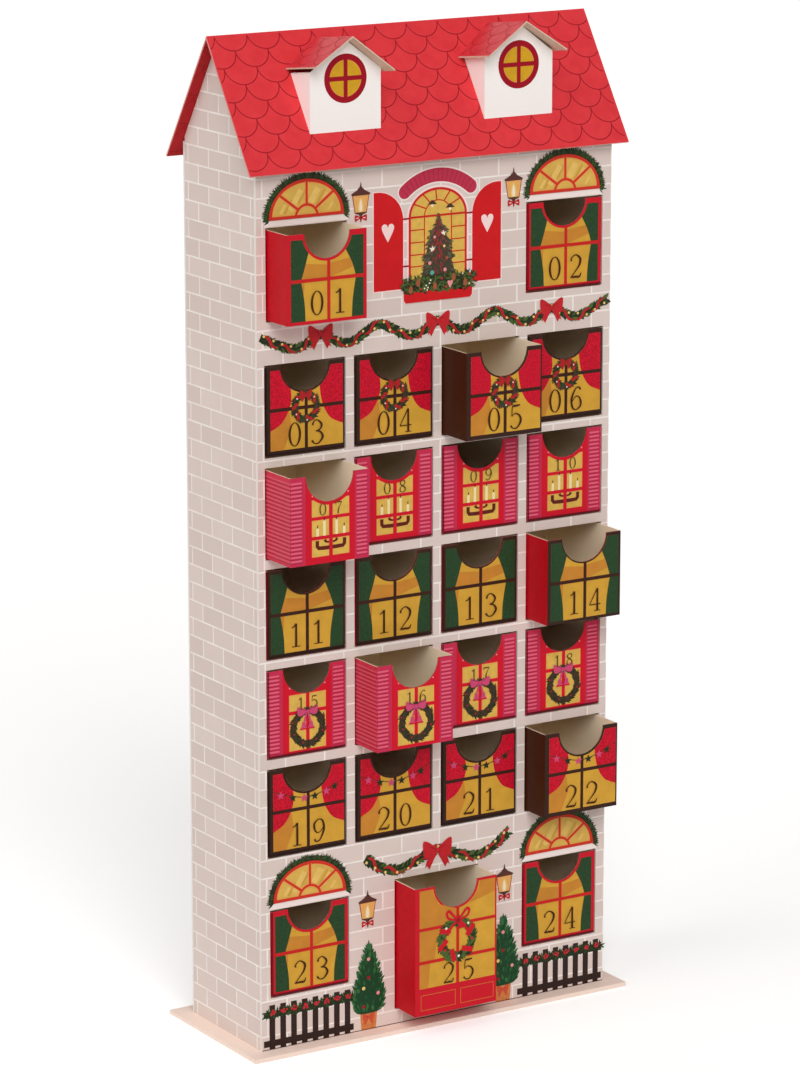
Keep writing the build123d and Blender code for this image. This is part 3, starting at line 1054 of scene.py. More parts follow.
@dataclass
class DrawerFront:
    """The print on the front of one drawer, in millimetres from the middle of its lower edge."""

    kind: Kind
    half_width: float
    height: float
    notch: float
    middle: float = 0.6
    bar: float = 2.2

    def rim_angle(self, rim: float, height: float) -> float:
        """Gives how far round the notch a rim reaches a height, in degrees below the level."""
        return math.degrees(math.asin((self.height - height) / (self.notch + rim)))

    def pane(self, left: float, right: float, low: float, high: float, rim: float) -> Line:
        """Gives an outline with the finger notch and a rim round it left out.

        Args:
            left: Its left edge.
            right: Its right edge.
            low: Its lower edge.
            high: Its upper edge.
            rim: How far it stays from the notch.

        Returns:
            The outline's points.
        """
        radius = self.notch + rim
        angle = self.rim_angle(rim, high)
        edge = arc(0, self.height, radius, radius, -angle, angle - 180, 30)
        return [(left, low), (right, low), (right, high), *edge, (left, high)]

    def curtain(self, outer: float, low: float, high: float, rim: float, meeting: float,
                fall: Sequence[Point]) -> Line:
        """Gives the outline of a curtain at the right.

        Args:
            outer: Its outer edge.
            low: Where it ends below, at its outer edge.
            high: Its upper edge.
            rim: How far it stays from the notch.
            meeting: How high it leaves the rim.
            fall: The points of its inner edge from the rim down.

        Returns:
            The outline's points.
        """
        radius = self.notch + rim
        start, end = -self.rim_angle(rim, high), -self.rim_angle(rim, meeting)
        round_notch = arc(0, self.height, radius, radius, start, end, 14)
        return [(outer, low), (outer, high), *round_notch, *smooth([round_notch[-1], *fall], 6)[1:]]

    def base(self, draft: Draft, ink: Ink) -> None:
        """Prints the whole front in one ink."""
        draft.fill(ink, [self.pane(-self.half_width, self.half_width, 0, self.height, 0)], 1)

    def cross(self, draft: Draft, ink: Ink, left: float, right: float, low: float, rim: float, up: float,
              level: float) -> None:
        """Prints the glazing bars of a window.

        Args:
            draft: The print.
            ink: The bars' ink.
            left: The panes' left edge.
            right: Their right edge.
            low: Their lower edge.
            rim: How far they stay from the notch.
            up: How high the level bar lies.
            level: The lower bar's level.
        """
        half = self.bar / 2
        overlap = 0.2
        top = self.height - math.sqrt((self.notch + rim) ** 2 - self.middle ** 2) + 0.3
        draft.fill(ink, [rectangle(self.middle - half, self.middle + half, low - overlap, top)], level)
        draft.fill(ink, [rectangle(left - overlap, right + overlap, up - half, up + half)], level + 0.5)

    def window_light(self, draft: Draft, left: float, right: float, low: float, up: float) -> None:
        """Prints the slanting lights in the panes of a window whose level bar lies at a height up."""
        middle = self.middle
        for outline, level in (
                ([(left, low), (left + 8.2, low), (left + 9.6, up), (left, up)], 3),
                ([(middle, up + 0.5), (middle, up + 9.5), (right - 3, up + 12.5), (right, up + 8)], 3),
                ([(left, up), (middle, up), (middle, up + 8.5), (left + 5, up + 11), (left, up + 8)], 3.4)):
            draft.fill(Ink.AMBER_DARK, [outline], level)

    def green_window(self, draft: Draft, border: Ink, bars: Ink, margins: Sequence[float],
                     rim: float) -> None:
        """Prints a window with green curtains tied back in the middle.

        Args:
            draft: The print.
            border: The frame's ink.
            bars: The glazing bars' ink.
            margins: How wide the frame is at the left, right, foot and top.
            rim: How far the panes stay from the notch.
        """
        left_margin, right_margin, low, top_margin = margins
        left, right = left_margin - self.half_width, self.half_width - right_margin
        high = self.height - top_margin
        tie, meeting = 26.9, 43.8
        self.base(draft, border)
        draft.fill(Ink.AMBER, [self.pane(left, right, low, high, rim)], 2)
        self.window_light(draft, left, right, low, tie)
        for side in (1, -1):
            edge = right if side > 0 else -left
            shift = self.middle * side
            drop = self.curtain(edge, tie, high, rim, meeting, [(16.6 + shift, 35.4), (19.4 + shift, tie)])
            fall = [(19.4 + shift, tie), (17.9 + shift, 19.0), (16.8 + shift, 11.0), (16.4 + shift, low)]
            skirt = [(edge, tie + 0.2), *smooth(fall), (edge, low)]
            for shape in (drop, skirt):
                draft.fill(Ink.GREEN_CURTAIN, [on_side(shape, side)], 4)
        self.cross(draft, bars, left, right, low, rim, tie, 6)

    def red_window(self, draft: Draft) -> None:
        """Prints a brown window with red curtains swept to the sides."""
        left, right = 3.2 - self.half_width, self.half_width - 1.1
        low, high, rim = 2.8, self.height - 2.6, 1.1
        bar, hem, meeting = 28.1, 15.3, 40.6
        self.base(draft, Ink.FRAME_BROWN)
        draft.fill(Ink.AMBER, [self.pane(left, right, low, high, rim)], 2)
        slant = [(left, low), (left + 9.5, low), (left + 15, 16), (left + 13, bar), (left, bar)]
        draft.fill(Ink.AMBER_DARK, [slant], 3)
        for side in (1, -1):
            edge = right if side > 0 else -left
            shift = self.middle * side
            fall = [(10.6 + shift, 33.5), (12.8 + shift, 26.4), (17.8 + shift, 19.3), (edge, hem)]
            draft.fill(Ink.RED_CURTAIN, [on_side(self.curtain(edge, hem, high, rim, meeting, fall), side)], 4)
        self.cross(draft, Ink.BROWN, left, right, low, rim, bar, 5)

    def louvred(self, draft: Draft) -> None:
        """Prints a red centre between two louvred shutters."""
        self.base(draft, Ink.LOUVRE)
        for left, length in ((0.3 - self.half_width, 8.0), (self.middle + 18.5, 7.6)):
            right = left + length
            lights = [[(left, up, 0.9), (left + 0.6, up, 1.25), (right - 0.8, up, 1.2), (right, up, 0.5)]
                      for up in slat_heights()]
            draft.stroke(Ink.LOUVRE_LIGHT, lights, 2)
            draft.stroke(Ink.LOUVRE_DARK, slat_lines(left, right, 0.4, 0.5), 2)
        draft.fill(Ink.DOOR_RED, [self.pane(self.middle - 17.9, self.middle + 17.3, 0, self.height, 0)], 3)
        draft.dots(Ink.ROSE, [(self.middle - 13.0, 43.0, 0.55), (self.middle + 12.4, 43.3, 0.55)], 4, 10)

    def small_panes(self, draft: Draft, rows: Sequence[Point]) -> None:
        """Prints two columns of yellow panes, each row given by its lower and upper edge."""
        middle = self.middle
        reach = self.notch + 2.0
        for low, high in rows:
            for left, right in ((middle - 13.5, middle - 1.2), (middle + 1.2, middle + 13.2)):
                outline = rectangle(left, right, low, high)
                if high > self.height - self.notch:
                    edge = [(x, min(high, self.height - math.sqrt(max(0.0, reach ** 2 - x ** 2))))
                            for x in (right - (right - left) * step / 10 for step in range(11))]
                    outline = [(left, low), (right, low), *edge]
                inset = [(x + (0.35 if x < (left + right) / 2 else -0.35),
                          y + (0.35 if y < (low + high) / 2 else -0.4)) for x, y in outline]
                draft.fill(Ink.PANE_EDGE, [outline], 4)
                draft.fill(Ink.YELLOW, [inset], 5)

    def candles(self, draft: Draft) -> None:
        """Prints four candles on a bracket, and the glazing bars in front of them."""
        middle, foot = self.middle, 17.4
        tips = ((middle - 9.5, 22.4), (middle - 4.6, 26.9), (middle + 4.1, 26.6), (middle + 9.5, 21.9))
        draft.stroke(Ink.CANDLE, [[(x, foot, 1.9), (x, tip, 1.8)] for x, tip in tips], 6)
        wicks = [[(x, tip, 0.3), (x, tip + 1.1, 0.8), (x, tip + 2.1, 0.1)] for x, tip in tips]
        draft.stroke(Ink.BROWN, wicks, 7)
        arm = [(-9.7, 14.6), (-9.7, 11.2), (-8.6, 9.9), (-4.0, 9.7), (4.0, 9.7), (8.6, 9.9), (9.7, 11.2),
               (9.7, 14.6)]
        hook = [(4.4, 14.9, 2.2), (3.6, 13.6, 1.5), (1.4, 13.0, 1.2)]
        draft.stroke(Ink.BRACKET, [moved(with_width(arm, 2.5), middle, 0)], 6)
        for side in SIDES:
            draft.stroke(Ink.BRACKET, [moved(on_side(hook, side), middle, 0)], 7)
        draft.fill(Ink.DOOR_RED, [rectangle(middle - 1.2, middle + 1.2, 4, 37)], 8)
        draft.fill(Ink.DOOR_RED, [rectangle(middle - 13.5, middle + 13.4, foot - 2.0, foot)], 8.5)

    def door_panes(self, draft: Draft) -> None:
        """Prints the door's six panes, its bars and its two lower panels."""
        left, right = 3.2 - self.half_width, self.half_width - 1.2
        low, high, rim = 18.0, self.height - 1.6, 1.3
        first_bar, second_bar = 35.4, 57.4
        middle = self.middle
        self.base(draft, Ink.RED)
        draft.fill(Ink.AMBER, [self.pane(left, right, low, high, rim)], 2)
        for slant in (
                [(left, second_bar), (middle, second_bar), (middle, 67.5), (-13.5, 72.9), (-17.3, 80),
                 (-17.6, high), (left, high)],
                [(9.0, 69.4), (right, 74.5), (right, high), (17.8, high), (17.2, 79), (13.2, 73.0)],
                [(left, first_bar), (left + 11, first_bar), (left + 14.5, second_bar), (left, second_bar)],
                [(left, low), (left + 6.5, low), (left + 8.1, first_bar), (left, first_bar)]):
            draft.fill(Ink.AMBER_DARK, [slant], 3)
        self.cross(draft, Ink.BAR_RED, left, right, low, rim, first_bar, 5)
        draft.fill(Ink.BAR_RED, [rectangle(left - 0.2, right + 0.2, second_bar - 1.0, second_bar + 1.1)], 5.5)
        for panel in (rectangle(-26.3, -0.4, 3.5, 13.5), rectangle(3.6, right - 1.0, 3.5, 13.5)):
            draft.stroke(Ink.AMBER_DARK, [with_width(panel, 0.42)], 2, True)

    def door_wreath(self, draft: Draft) -> None:
        """Prints the door's wreath with its ribbon, bow, berries and lights."""
        x, y, middle, knot = self.middle - 0.6, 47.4, self.middle, 59.6
        greens = (Ink.LEAF, Ink.LEAF_DARK, Ink.LEAF_LIGHT)
        Ornaments(draft, 25).wreath(x, y - 0.2, 15.6, 7.8, greens, 7)
        for angle in (20, 75, 140, 190, 250, 310):
            turn = math.radians(angle)
            band = [(x + reach * math.cos(turn + lean), y + reach * math.sin(turn + lean), 3.4)
                    for reach, lean in ((7.6, -0.22), (14.9, 0.22))]
            draft.stroke(Ink.RED, [band], 11)
        lights = [(-8.8, 8.2, 0.9), (7.8, 9.2, 0.9), (0.6, -11.6, 0.9)]
        berries = [(-9.6, -6.2, 1.0), (10.6, -1.4, 1.0)]
        draft.dots(Ink.CREAM, moved(lights, middle, y), 12)
        draft.dots(Ink.RIBBON, moved(berries, middle, y), 12)
        loop = smooth([(0, 59.8, 0.8), (3.6, 63.5, 1.6), (6.6, 66.6, 1.9), (8.4, 65.4, 1.7), (6.8, 61.8, 1.5),
                       (0, knot, 0.9)])
        tail = smooth([(0, knot, 1.0), (4.4, 56.4, 1.8), (8.0, 50.6, 1.5)])
        for side in SIDES:
            draft.stroke(Ink.RED, [moved(on_side(band, side), middle, 0) for band in (loop, tail)], 13)
        draft.dots(Ink.RIBBON_DARK, [(middle, knot, 1.5)], 14)

    def wreath_on_curtains(self, draft: Draft) -> None:
        """Prints a small wreath with a ribbon and a bow."""
        ornaments = Ornaments(draft, 7)
        x, y = self.middle - 0.4, 28.4
        lights = [(-6.2, 5.4, 0.5), (6.0, 5.6, 0.5), (0.9, -8.4, 0.5), (-6.8, -4.2, 0.5)]
        ornaments.wreath(x, y, 11.0, 4.9, (Ink.LEAF_DARK, Ink.LEAF, Ink.LEAF_BROWN), 7)
        ornaments.wraps(x, y, 9.8, 5.5, (-74, -28, 34, 124, 172, 222), 1.9, Ink.WREATH_RIBBON, 11)
        draft.dots(Ink.CREAM, moved(lights, x, y), 12, 10)
        ornaments.bow(x, 36.2, 8.6, Ink.WREATH_RIBBON, Ink.RIBBON_DARK, 12)

    def wreath_with_bells(self, draft: Draft) -> None:
        """Prints a brown wreath with a pink bow and two bells."""
        ornaments = Ornaments(draft, 7)
        y = 16.2
        berries = [(-11.2, 4.4, 0.6), (-9.9, -3.4, 0.6), (-3.6, -9.6, 0.6), (6.0, -8.4, 0.6),
                   (10.6, -3.2, 0.6)]
        ornaments.wreath(self.middle, y, 13.8, 7.4, (Ink.LEAF_BROWN, Ink.LEAF_DARK, Ink.NEEDLE), 7)
        draft.dots(Ink.WREATH_RIBBON, moved(berries, self.middle, y), 11.5, 10)
        self.bells(draft, self.middle - 0.4, 26.0)
        ornaments.bow(self.middle - 0.4, 26.6, 15.2, Ink.PINK, Ink.PINK_DARK, 14, 0.72)

    def bells(self, draft: Draft, x: float, high: float) -> None:
        """Prints two bells that hang from ribbons."""
        low = high - 5.6
        bell = whole([(0.0, 0.0), (1.2, -0.7), (1.6, -3.2), (2.7, -5.0)])
        rim = with_width([(-2.7, -4.9), (2.7, -4.9)], 0.9)
        for side in SIDES:
            middle = x + side * 2.6
            draft.stroke(Ink.PINK, [[(x + side * 0.7, high, 1.1), (x + side * 2.0, low, 1.5)]], 12)
            draft.fill(Ink.PINK, [moved(bell, middle, low)], 12.6)
            draft.stroke(Ink.DOOR_RED, [moved(rim, middle, low)], 13)

    def bunting(self, draft: Draft) -> None:
        """Prints a string of stars."""
        ornaments = Ornaments(draft, 7)
        string = with_width([(-24.4, 41.6), (-13, 37.6), (0, 35.0), (13, 37.4), (26.5, 43.0)], 0.45)
        draft.stroke(Ink.LEAF_BROWN, [smooth(string, 8)], 8)
        for index, x in enumerate((-19.3, -10.6, -2.3, 5.4, 13.8, 19.8)):
            ornaments.star(x, 34.6 + (x / 9.6) ** 2, 2.9, (Ink.PINK, Ink.LEAF_DARK)[index % 2], 9)

    def draw(self, draft: Draft) -> None:
        """Prints everything but the numerals."""
        if self.kind is Kind.RED_WINDOW:
            self.green_window(draft, Ink.RED, Ink.BAR_RED, (2.5, 2.3, 2.1, 3.4), 1.6)
        elif self.kind is Kind.BROWN_WINDOW:
            self.green_window(draft, Ink.FRAME_BROWN, Ink.BROWN, (2.6, 1.6, 2.0, 2.4), 0.9)
        elif self.kind is Kind.WREATH_WINDOW:
            self.red_window(draft)
            self.wreath_on_curtains(draft)
        elif self.kind is Kind.BUNTING_WINDOW:
            self.red_window(draft)
            self.bunting(draft)
        elif self.kind is Kind.CANDLE_LOUVRES:
            self.louvred(draft)
            self.small_panes(draft, ((4.5, 15.3), (17.4, 27.6), (29.6, 40.4)))
            self.candles(draft)
        elif self.kind is Kind.WREATH_LOUVRES:
            self.louvred(draft)
            self.small_panes(draft, ((2.2, 25.6), (27.8, 38.4)))
            self.wreath_with_bells(draft)
        else:
            self.door_panes(draft)
            self.door_wreath(draft)

    def number(self, draft: Draft, number: int) -> None:
        """Prints the two numerals."""
        large = Numerals(8.9, 15.0, 1.55, 0.5, Ink.DIGIT)
        small = Numerals(4.9, 7.6, 0.9, 0.32, Ink.SMALL_DIGIT)
        numerals, tens, units, low = {
            Kind.RED_WINDOW: (large, -12.9, 3.2, 5.3), Kind.BROWN_WINDOW: (large, -12.9, 3.2, 5.3),
            Kind.WREATH_WINDOW: (large, -12.9, 3.2, 4.4), Kind.BUNTING_WINDOW: (large, -12.9, 3.2, 4.4),
            Kind.CANDLE_LOUVRES: (small, -8.3, 3.0, 30.3), Kind.WREATH_LOUVRES: (small, -7.5, 2.0, 28.6),
            Kind.DOOR: (Numerals(8.2, 13.6, 1.4, 0.5, Ink.DIGIT), -11.0, 3.7, 19.0),
        }[self.kind]
        for digit, left in zip(f"{number:02d}", (tens, units)):
            numerals.draw(draft, digit, self.middle + left, low, 16)

    def painted_gap_shadows(self, draft: Draft) -> None:
        """Paints the shadow of the gap round a drawer that is pushed home, along its left and lower edges."""
        brown = self.kind in (*BROWN_SIDED_KINDS, Kind.BROWN_WINDOW)
        left, right = 0.4 - self.half_width, self.half_width - 0.2
        draft.stroke(Ink.BROWN_GAP_SHADOW if brown else Ink.RED_GAP_SHADOW, [
            [(left, self.height, 0.6), (left, 0.5, 0.8)], [(left, 0.55, 1.1), (right, 0.45, 0.9)]], 15)


@dataclass
class Drawers:
    """All drawers: the card of each tray, the print on its front and the slats on its sides."""

    outer_notch: float = 16.0
    inner_notch: float = 17.0
    flush: float = 0.002

    def dress_tray(self, node: str, kind: Kind) -> None:
        """Gives a tray its card, printed outside as its kind is."""
        low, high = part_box(node)
        # Cut-edge colours are tinted towards the print and darkened; the darkening is painted shade.
        outside, edge = Ink.SIDE_RED, (196, 96, 92)
        if kind in BROWN_SIDED_KINDS:
            outside, edge = Ink.BROWN_SIDE, (116, 88, 70)
        elif kind in LOUVRED_KINDS:
            outside = Ink.LOUVRE_WALL
        middle = (low + high) / 2
        dress(node, TrayCard(f"{node}_card", (middle.x, middle.y), low.y, outside, edge).material())

    def slatted_side(self, node: str, side: int) -> bpy.types.Object:
        """Prints the slats on one side of a tray.

        Args:
            node: The tray's node.
            side: -1 for the left side, 1 for the right.

        Returns:
            The piece.
        """
        low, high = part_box(node)
        draft = Draft(f"{node}_{'left' if side < 0 else 'right'}_slats")
        length = (high.y - low.y) / MM
        draft.stroke(Ink.LOUVRE_SIDE, slat_lines(0, length, 1.25), 1)
        draft.stroke(Ink.LOUVRE_DARK, slat_lines(0, length, 0.5, 0.5), 1)
        start = (low.x, high.y, low.z) if side < 0 else (high.x, low.y, low.z)
        return draft.build(sheet(start, (0, side, 0), (0, 0, 1)))

    def make(self) -> None:
        """Makes the pieces of every drawer."""
        pictures: dict[Kind, bpy.types.Object] = {}
        wall_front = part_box("house_front")[0].y
        for number, kind in KIND_OF_NUMBER.items():
            node = f"drawer_{number:02d}"
            low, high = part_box(node)
            self.dress_tray(node, kind)
            notch = self.outer_notch if kind in PRINT_MIDDLES else self.inner_notch
            front = DrawerFront(kind, (high.x - low.x) / MM / 2, (high.z - low.z) / MM, notch,
                                PRINT_MIDDLES.get(kind, DrawerFront.middle))
            if kind not in pictures:
                draft = Draft(f"{kind.name.lower()}_print")
                front.draw(draft)
                pictures[kind] = draft.build(Matrix.Identity(4))
            numerals = Draft(f"{node}_print")
            front.number(numerals, number)
            # A drawer that is pushed home gets the painted shadow of its gap along its left and lower edges.
            if low.y > wall_front - self.flush:
                front.painted_gap_shadows(numerals)
            piece = numerals.build(Matrix.Identity(4))
            picture = pictures[kind].copy()
            picture.data = pictures[kind].data.copy()
            bpy.context.scene.collection.objects.link(picture)
            select_only([piece, picture])
            bpy.ops.object.join()
            lay(piece, facing_front((low.x + high.x) / 2, low.y, low.z))
            hand_over(piece, node)
            for side in SIDES if kind in LOUVRED_KINDS else ():
                hand_over(self.slatted_side(node, side), node)
        for picture in pictures.values():
            bpy.data.objects.remove(picture)


@dataclass
class HouseFront:
    """The prints on the front wall, in millimetres from the middle of the underside of the base."""

    doorway_x: float = 94.5
    upper_doorway_top: float = 527.5
    lower_doorway_top: float = 95.0

    def fanlight(self, ornaments: Ornaments, x: float, doorway_top: float) -> None:
        """Prints a half-round window with a fringe of needles above a doorway.

        Args:
            ornaments: What draws into the print.
            x: The doorway's middle.
            doorway_top: Its upper edge.
        """
        draft, uniform = ornaments.draft, ornaments.random.uniform
        half, height, half_lintel, needle_total = 26.6, 23.6, 29.5, 86
        base = doorway_top + 4.4
        lintel = rectangle(x - half_lintel, x + half_lintel, doorway_top + 0.5, base - 0.4)
        draft.fill(Ink.LINTEL, [lintel], 1)
        draft.stroke(Ink.LEAF_DARK, [with_width(arc(x, base, half + 1.4, height + 1.3, -1, 181, 40), 3.8)], 1)
        needles = []
        for index in range(needle_total):
            angle = math.radians(-2 + index * 184 / (needle_total - 1))
            for lean in (0.6, -0.55, 0.0):
                root = half + uniform(-0.2, 1.4)
                start = (x + root * math.cos(angle), base + (root - 3.0) * math.sin(angle))
                turn = angle + lean + uniform(-0.25, 0.25)
                needles.append(ornaments.leaf(*start, turn, uniform(3.2, 4.6), 0.95))
        ornaments.leaves((Ink.LEAF_DARK, Ink.NEEDLE, Ink.LEAF_DARK, Ink.LEAF), needles, 2)
        draft.fill(Ink.FAN_RED, [arc(x, base, half, height, 0, 180, 40)], 6)
        draft.fill(Ink.PANE_EDGE, [arc(x, base + 1.8, half - 2.4, height - 3.9, 0, 180, 36)], 7)
        draft.fill(Ink.GOLD, [arc(x, base + 2.2, half - 3.0, height - 4.7, 0, 180, 36)], 8)
        light = ((-18.6, 3.4, 5.4, 2.0), (-11.6, 5.0, 12.0, 4.0), (2.6, 8.8, 8.6, 4.4), (9.8, 6.6, 7.4, 2.4),
                 (15.4, 3.4, 4.6, 1.6))
        dark = ((-15.6, 3.2, 8.0, 1.8), (-6.0, 8.6, 9.0, 1.6), (6.8, 7.0, 9.4, 1.6))
        for ink, gleams in ((Ink.GOLD_LIGHT, light), (Ink.GOLD_DARK, dark)):
            lines = [[(across, up, width), (across + rise * 0.66, up + rise, width)]
                     for across, up, rise, width in gleams]
            draft.stroke(ink, [moved(line, x, base) for line in lines], 9)
        spokes = []
        for angle in (41, 90, 139):
            turn = math.radians(angle)
            spokes.append([(x + 7.6 * math.cos(turn), base + 7.4 * math.sin(turn)),
                           (x + (half - 2.0) * math.cos(turn), base + (height - 1.6) * math.sin(turn))])
        hub = arc(x, base, 7.8, 7.8, 0, 180, 20)
        for ink, width, level in ((Ink.PANE_EDGE, 2.4, 10), (Ink.FAN_RED, 1.55, 11)):
            draft.stroke(ink, [with_width(spoke, width) for spoke in spokes], level)
            draft.stroke(ink, [with_width(hub, width)], level + 0.5)
        draft.fill(Ink.FAN_RED, [rectangle(x - half, x + half, base - 0.1, base + 1.8)], 12)

    def shutter(self, ornaments: Ornaments, side: int) -> None:
        """Prints an open shutter with a heart."""
        draft = ornaments.draft
        for ink, grow, level in ((Ink.HALO, 0.7, 1), (Ink.SHUTTER_RED, 0.0, 2)):
            inner, outer = 25.3 - grow, 46.6 + grow
            curve = arc(outer - 3.0, 524.0, outer - 3.0 - inner, 18.5 + grow, 90, 180, 16)
            outline = [(outer, 481.0 - grow), (outer, 542.5 + grow), *curve, (inner, 481.0 - grow)]
            draft.fill(ink, [on_side(outline, side)], level)
        ornaments.heart(side * 36.4, 520.2, 9.0, Ink.HALO, 3)
        hinges = [[(side * 20.6, up, 1.1), (side * 25.8, up, 1.1)] for up in (524.6, 495.0)]
        draft.stroke(Ink.RIBBON_DARK, hinges, 1.5)

    def window(self, ornaments: Ornaments) -> None:
        """Prints the arched window with the decorated tree and the flower box."""
        draft = ornaments.draft
        spring, low, half, rise = 525.0, 484.0, 21.3, 17.5
        inner_half, inner_rise, thin, edge = 9.9, 9.6, 0.75, 0.8

        def arched(inset: float) -> Line:
            """Gives the window's outline drawn in by an inset."""
            top = arc(0, spring, half - inset, rise - inset, 0, 180, 26)
            return [(half - inset, low), *top, (inset - half, low)]

        layers = ((Ink.HALO, -1.3), (Ink.BAR_RED, 0), (Ink.PANE_EDGE, 1.5), (Ink.YELLOW, 1.9))
        for level, (ink, inset) in enumerate(layers, start=1):
            draft.fill(ink, [arched(inset)], level)
        inner = [(inner_half, low), *arc(0, spring, inner_half, inner_rise, 0, 180, 18), (-inner_half, low)]
        rails = [with_width([(side * inner_half, up), (side * (half - edge), up)], thin)
                 for side in SIDES for up in (517.0, 509.2, 501.5, 494.2)]
        spokes = []
        for angle in (36, 64, 95, 123, 150):
            turn = math.radians(angle)
            spokes.append([(inner_half * math.cos(turn), spring + inner_rise * math.sin(turn), 0.9),
                           ((half - 1) * math.cos(turn), spring + (rise - 1) * math.sin(turn), 0.9)])
        draft.stroke(Ink.BAR_RED, [with_width(inner, thin), *rails, *spokes], 5)
        draft.stroke(Ink.BAR_RED, [with_width([(edge - half, spring), (half - edge, spring)], 1.3)], 6)
        for x, up in ((-4.2, 532.8), (8.8, 529.8)):
            draft.fill(Ink.LEAF_BROWN, [moved(whole([(0.7, 1.9), (3.4, -0.7)]), x, up)], 7)
            draft.dots(Ink.CREAM, [(x, up - 1.5, 0.95)], 7, 10)
        self.fir(ornaments, 0.4, low, spring, 15.5)
        self.flower_box(ornaments)
        self.hood(draft)

    def fir(self, ornaments: Ornaments, x: float, low: float, high: float, half: float) -> None:
        """Prints a pointed fir of three tiers with baubles."""
        shape = [(0.0, 0.0), (0.06, 0.08), (0.2, 0.16), (0.5, 0.24), (0.34, 0.26), (0.5, 0.34), (0.74, 0.43),
                 (0.56, 0.46), (0.7, 0.56), (0.9, 0.66), (0.7, 0.69), (0.84, 0.8), (1.0, 0.97)]
        right = [(x + half * 0.84 * share, high - (high - low) * down) for share, down in shape]
        ornaments.draft.fill(Ink.FIR_DARK, [whole(right, x)], 8)
        middle, sides, leaf_total = [], [], 34
        uniform = ornaments.random.uniform
        for (share, down), (next_share, next_down) in zip(shape, shape[1:]):
            for _ in range(leaf_total):
                go = ornaments.random.random()
                reach = half * (share + (next_share - share) * go)
                across = uniform(-1.0, 1.0)
                up = high - (high - low) * (down + (next_down - down) * go) + 1.2
                turn = -math.pi / 2 + across * 1.25 + uniform(-0.2, 0.2)
                length = uniform(1.8, 3.6) * min(1.0, 0.35 + reach / 6)
                leaf = ornaments.leaf(x + reach * 0.8 * across, up, turn, length, 0.85)
                (middle if abs(across) < uniform(0.2, 0.7) else sides).append(leaf)
        ornaments.leaves((Ink.FIR_DARK, Ink.OLIVE), sides, 9)
        ornaments.leaves((Ink.FIR, Ink.FIR_DARK, Ink.FIR), middle, 10.4)
        dove = [(-2.2, 1.5), (-0.7, 0.5), (-0.3, 2.1), (0.7, 0.6), (2.4, 1.0), (1.0, -0.4), (1.3, -1.5),
                (-0.6, -1.1)]
        for across, up, size in ((3.4, 513.6, 1.0), (-4.6, 504.2, -1.05)):
            bird = [(x + across + point[0] * size, up + point[1] * abs(size)) for point in dove]
            ornaments.draft.fill(Ink.CREAM, [bird], 13)
        baubles = ((-3.0, 511.6, 1.0, Ink.ROSE), (4.0, 505.4, 0.9, Ink.LIGHT), (-6.6, 495.6, 1.2, Ink.ROSE),
                   (6.0, 498.0, 1.1, Ink.CONE), (-4.8, 489.4, 1.5, Ink.TEAL), (4.6, 490.6, 1.2, Ink.ROSE),
                   (0.6, 499.4, 0.8, Ink.RIBBON))
        for across, up, radius, ink in baubles:
            ornaments.draft.dots(ink, [(x + across, up, radius)], 14)

    def flower_box(self, ornaments: Ornaments) -> None:
        """Prints the window's red box with greenery, cones and berries."""
        draft, uniform = ornaments.draft, ornaments.random.uniform
        box = whole([(25.2, 480.6), (25.0, 473.4), (23.6, 471.8)])
        draft.fill(Ink.HALO, [moved(box, 0, -476.2 * 0.04, 1.04)], 1)
        draft.fill(Ink.SHUTTER_RED, [box], 14)
        draft.fill(Ink.LEAF_DARK, [rectangle(-24.4, 24.4, 478.4, 485.6)], 15)
        leaves, leaf_total = [], 430
        for _ in range(leaf_total):
            x, up, turn = uniform(-26.0, 26.0), uniform(477.6, 487.0), uniform(-0.5, math.pi + 0.5)
            leaves.append(ornaments.leaf(x, up, turn, 3.4, 1.05))
        ornaments.leaves((Ink.LEAF, Ink.LEAF_DARK, Ink.NEEDLE, Ink.LEAF_LIGHT), leaves, 16)
        for x, up in ((-14.8, 484.0), (-2.6, 480.8), (11.2, 485.4), (19.8, 481.4), (-20.2, 480.0)):
            draft.fill(Ink.CONE, [ring(x, up, 1.5, 2.5, 12)], 21)
        berries = ((-10.2, 480.0), (-9.0, 481.8), (-7.6, 480.4), (-6.6, 483.0), (-5.8, 484.8), (17.8, 487.0),
                   (-8.2, 479.0), (22.6, 480.2))
        draft.dots(Ink.CREAM, [(x, up, 0.55) for x, up in berries], 22, 9)
        for x, up in ((-12.6, 479.8), (2.6, 485.4), (23.0, 486.2), (5.6, 479.6)):
            draft.dots(Ink.RIBBON, [(x, up, 0.8)], 22, 10)
        ornaments.heart(8.6, 482.6, 4.0, Ink.ROSE, 22)

    def hood(self, draft: Draft) -> None:
        """Prints the brick arch over the window."""
        middle, radius, width, reach, rim, joint_total = 513.4, 36.9, 8.6, 41.0, 0.9, 17
        band = arc(0, middle, radius, radius, 90 + reach, 90 - reach, 30)
        draft.stroke(Ink.LINTEL, [with_width(band, width + 2 * rim)], 1)
        draft.stroke(Ink.HOOD, [with_width(band, width)], 2)
        for end in (band[0], band[-1]):
            draft.dots(Ink.LINTEL, [(*end, width / 2 + rim)], 1.4, 20)
            draft.dots(Ink.HOOD, [(*end, width / 2)], 2.4, 20)
        half_joint = width / 2 - 0.3
        joints = []
        for step in range(joint_total):
            angle = math.radians(90 - reach + 2 * reach * step / (joint_total - 1))
            joints.append([(out * math.cos(angle), middle + out * math.sin(angle), 0.42)
                           for out in (radius - half_joint, radius + half_joint)])
        draft.stroke(Ink.HOOD_LINE, joints, 3.5)

